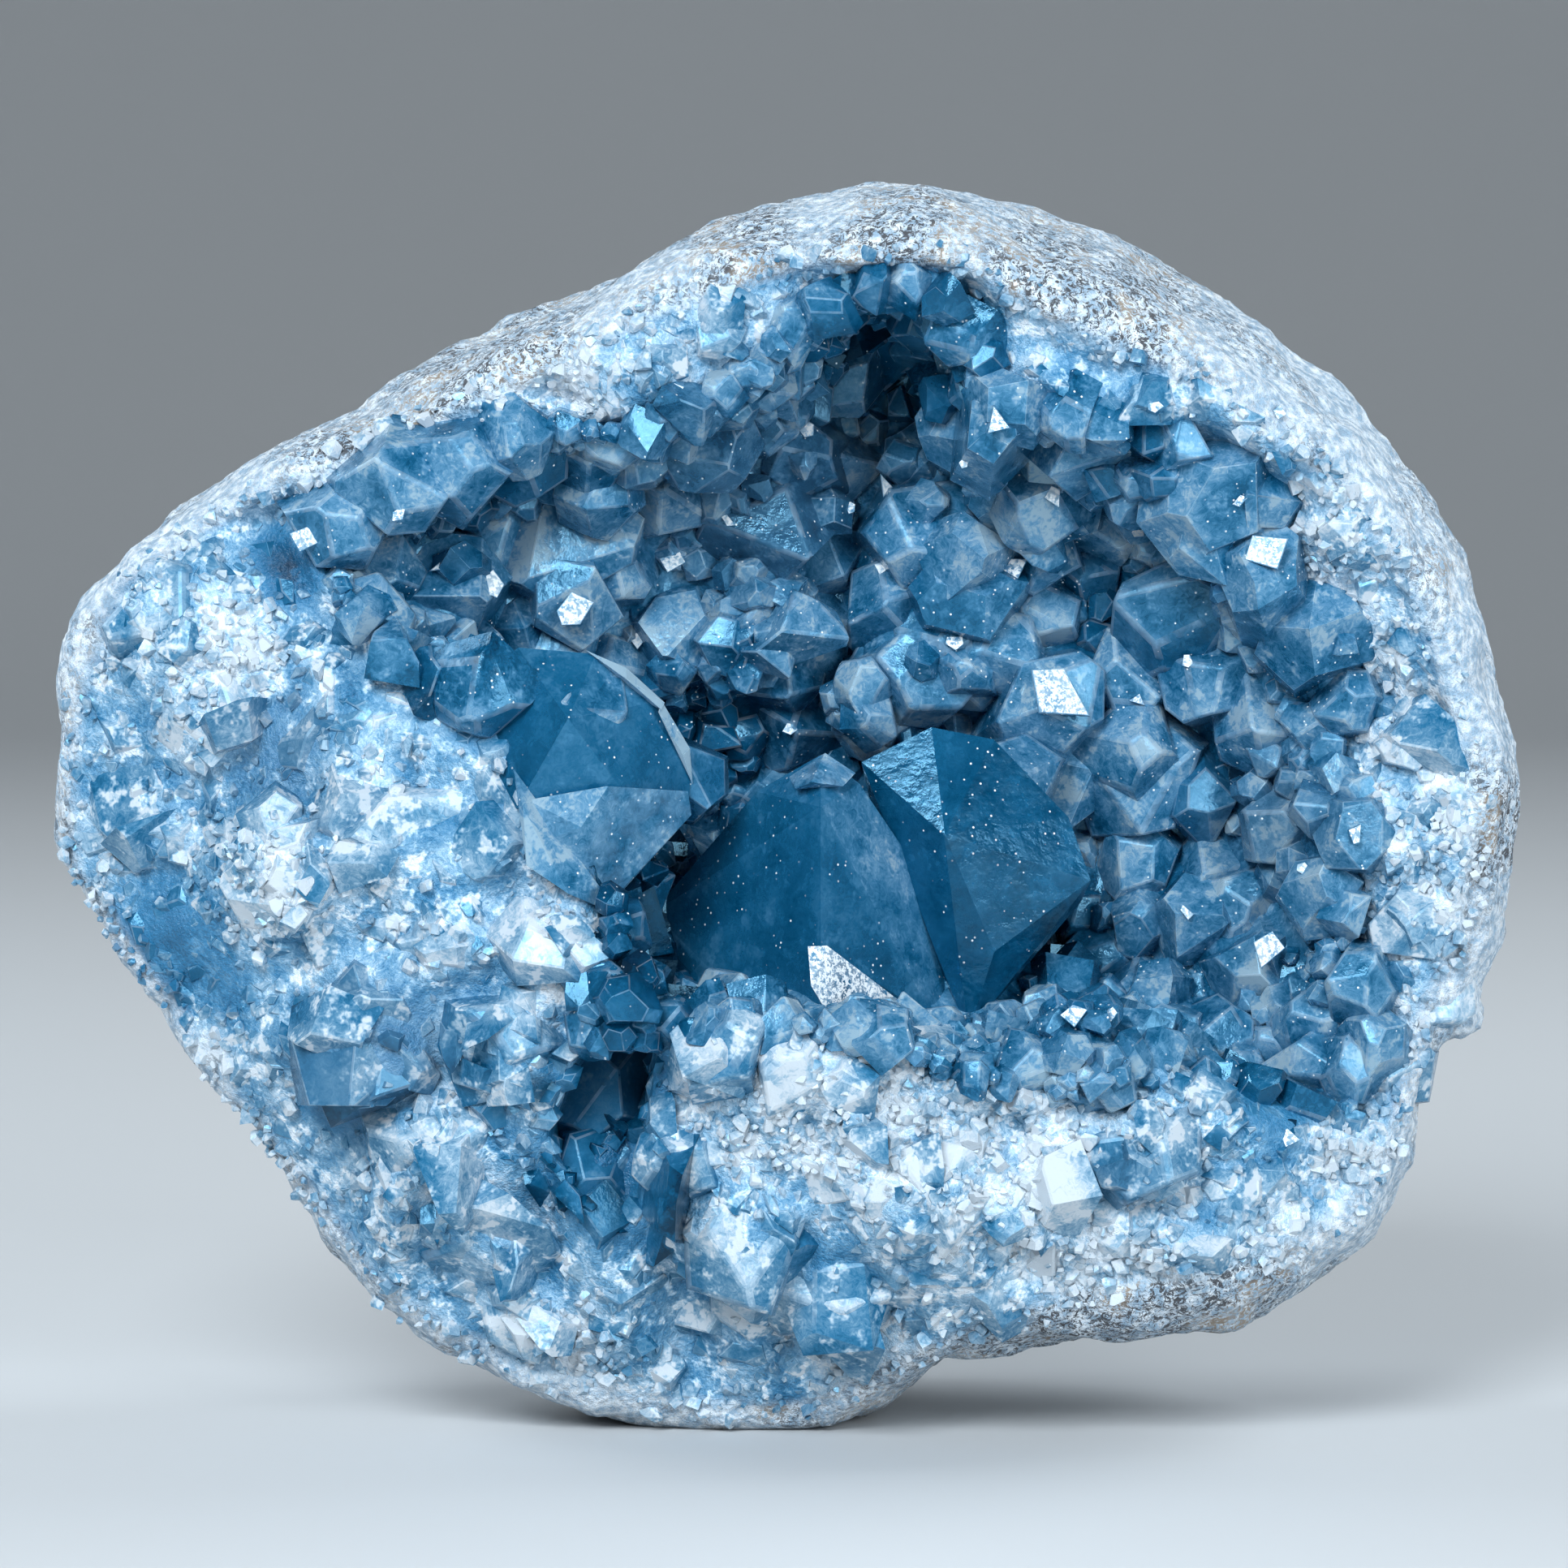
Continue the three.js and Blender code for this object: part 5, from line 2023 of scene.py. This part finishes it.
@dataclass
class Studio:
    """A pale floor that curves up all round, soft lights, and the camera. Sizes are in metres."""

    floor_radius: float = 3.0
    floor_corners: int = 96
    wall_height: float = 2.5
    wall_rounding: float = 1.2
    wall_strips: int = 16
    paper: Colour = (0.62, 0.63, 0.64)
    camera_distance: float = 1.2
    camera_sensor: float = 36.0
    camera_range: Span = (0.05, 20.0)
    elevation: float = 4.0
    picture_side: float = 1932.0
    pixels_per_mm: float = 7.5
    light_colour: Colour = (0.86, 0.94, 1.0)
    room_colour: Colour = (0.82, 0.88, 0.95)
    room_strength: float = 0.1
    middle_x: float = 4.1
    middle_z: float = 104.5

    def build(self) -> None:
        """Sets up the floor, the lights and the camera."""
        self._floor()
        self._world()
        middle = Vector((self.middle_x, 0, self.middle_z)) * MM
        for lamp in LAMPS:
            self._light(lamp, middle)
        self._camera(middle)

    def _floor(self) -> None:
        """Models the floor as a disc with a rounded wall."""
        bpy.ops.mesh.primitive_circle_add(
            vertices=self.floor_corners, radius=self.floor_radius, fill_type="NGON", location=(0, 0, 0)
        )
        floor = bpy.context.object
        floor.name = "floor"
        with editing(floor):
            bpy.ops.mesh.extrude_region_move(TRANSFORM_OT_translate={"value": (0, 0, self.wall_height)})
            bpy.ops.mesh.delete(type="ONLY_FACE")
        mesh = floor.data
        deselect_mesh(mesh)
        for edge in mesh.edges:
            edge.select = all(abs(mesh.vertices[i].co.z) < 0.001 * MM for i in edge.vertices)
        with editing(floor, Choice.EDGES):
            bpy.ops.mesh.bevel(offset=self.wall_rounding, segments=self.wall_strips, affect="EDGES")
        for polygon in mesh.polygons:
            polygon.use_smooth = True
        mesh.materials.append(PaperFinish("floor_paper", self.paper).material())
        floor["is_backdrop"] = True

    def _world(self) -> None:
        """Lights the room evenly."""
        world = bpy.data.worlds.new("room")
        bpy.context.scene.world = world
        world.use_nodes = True
        background = world.node_tree.nodes["Background"]
        background.inputs["Color"].default_value = (*self.room_colour, 1)
        background.inputs["Strength"].default_value = self.room_strength

    def _light(self, lamp: Lamp, middle: Vector) -> None:
        """Hangs one lamp.

        Args:
            lamp: The lamp.
            middle: What it shines at.
        """
        made = bpy.data.lights.new(lamp.name, "AREA")
        made.size = lamp.size
        made.energy = lamp.power
        made.color = self.light_colour
        light = bpy.data.objects.new(lamp.name, made)
        light.location = lamp.place
        light.rotation_euler = (middle - Vector(lamp.place)).to_track_quat("-Z", "Y").to_euler()
        bpy.context.scene.collection.objects.link(light)

    def _camera(self, middle: Vector) -> None:
        """Places the camera in front, a little above the middle of the geode.

        Args:
            middle: What it looks at.
        """
        camera = bpy.data.cameras.new("camera")
        camera.sensor_width = self.camera_sensor
        frame_width = self.picture_side / self.pixels_per_mm * MM
        camera.lens = camera.sensor_width * self.camera_distance / frame_width
        camera.clip_start, camera.clip_end = self.camera_range
        eye = bpy.data.objects.new("camera", camera)
        tilt = math.radians(self.elevation)
        eye.location = middle + Vector((0, -math.cos(tilt), math.sin(tilt))) * self.camera_distance
        eye.rotation_euler = (middle - eye.location).to_track_quat("-Z", "Y").to_euler()
        bpy.context.scene.collection.objects.link(eye)
        bpy.context.scene.camera = eye


BOUNCES = {"max_bounces": 5, "transmission_bounces": 4, "diffuse_bounces": 2, "glossy_bounces": 2}


def dress(piece: bpy.types.Object, material: bpy.types.Material, node: str) -> None:
    """Gives a piece its finish, hangs it on the body and hides the CAD node that it stands for.

    Args:
        piece: The piece.
        material: Its finish.
        node: The CAD node.
    """
    piece.data.materials.clear()
    piece.data.materials.append(material)
    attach(piece, BODY)
    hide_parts(node)
    piece.data.calc_loop_triangles()
    log.info("%s: %d triangles", piece.name, len(piece.data.loop_triangles))


def set_up_light() -> None:
    """Shows colours as they are, and follows light over a few bounces."""
    bpy.context.scene.view_settings.view_transform = "Standard"
    paths = bpy.context.scene.cycles
    for name, count in BOUNCES.items():
        setattr(paths, name, count)
    paths.use_light_tree = False
    paths.caustics_refractive = paths.caustics_reflective = False


def main() -> None:
    """Builds the geode and the studio."""
    deselect()
    set_up_light()
    crust, shell = Ground(CRUST_NODE), Ground(SHELL_NODE)
    Studio().build()
    dress(Nodule().build(), NoduleFinish("rind_and_mass").material(), SHELL_NODE)
    broken = CelestiteFinish("broken_celestite", BLUES, clearness=0.3, mottle=0.75, veins=0.5).material()
    for piece in BrokenFace(shell, crust).build():
        dress(piece, broken, SHELL_NODE)
    druse = Druse(crust, shell).build()
    soften(druse, 35)
    clear = CelestiteFinish(
        "clear_crystal", CLEAR_BLUES, clearness=0.55, mottle=0.85, veins=0.3, density=46.0, glint_specked=True
    )
    dress(druse, clear.material(), CRUST_NODE)
    boxes = {"cad": CAD_BOX, "visual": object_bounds()}
    {name: [list(corner) for corner in box] for name, box in boxes.items()}


if __name__ == "__main__":
    main()
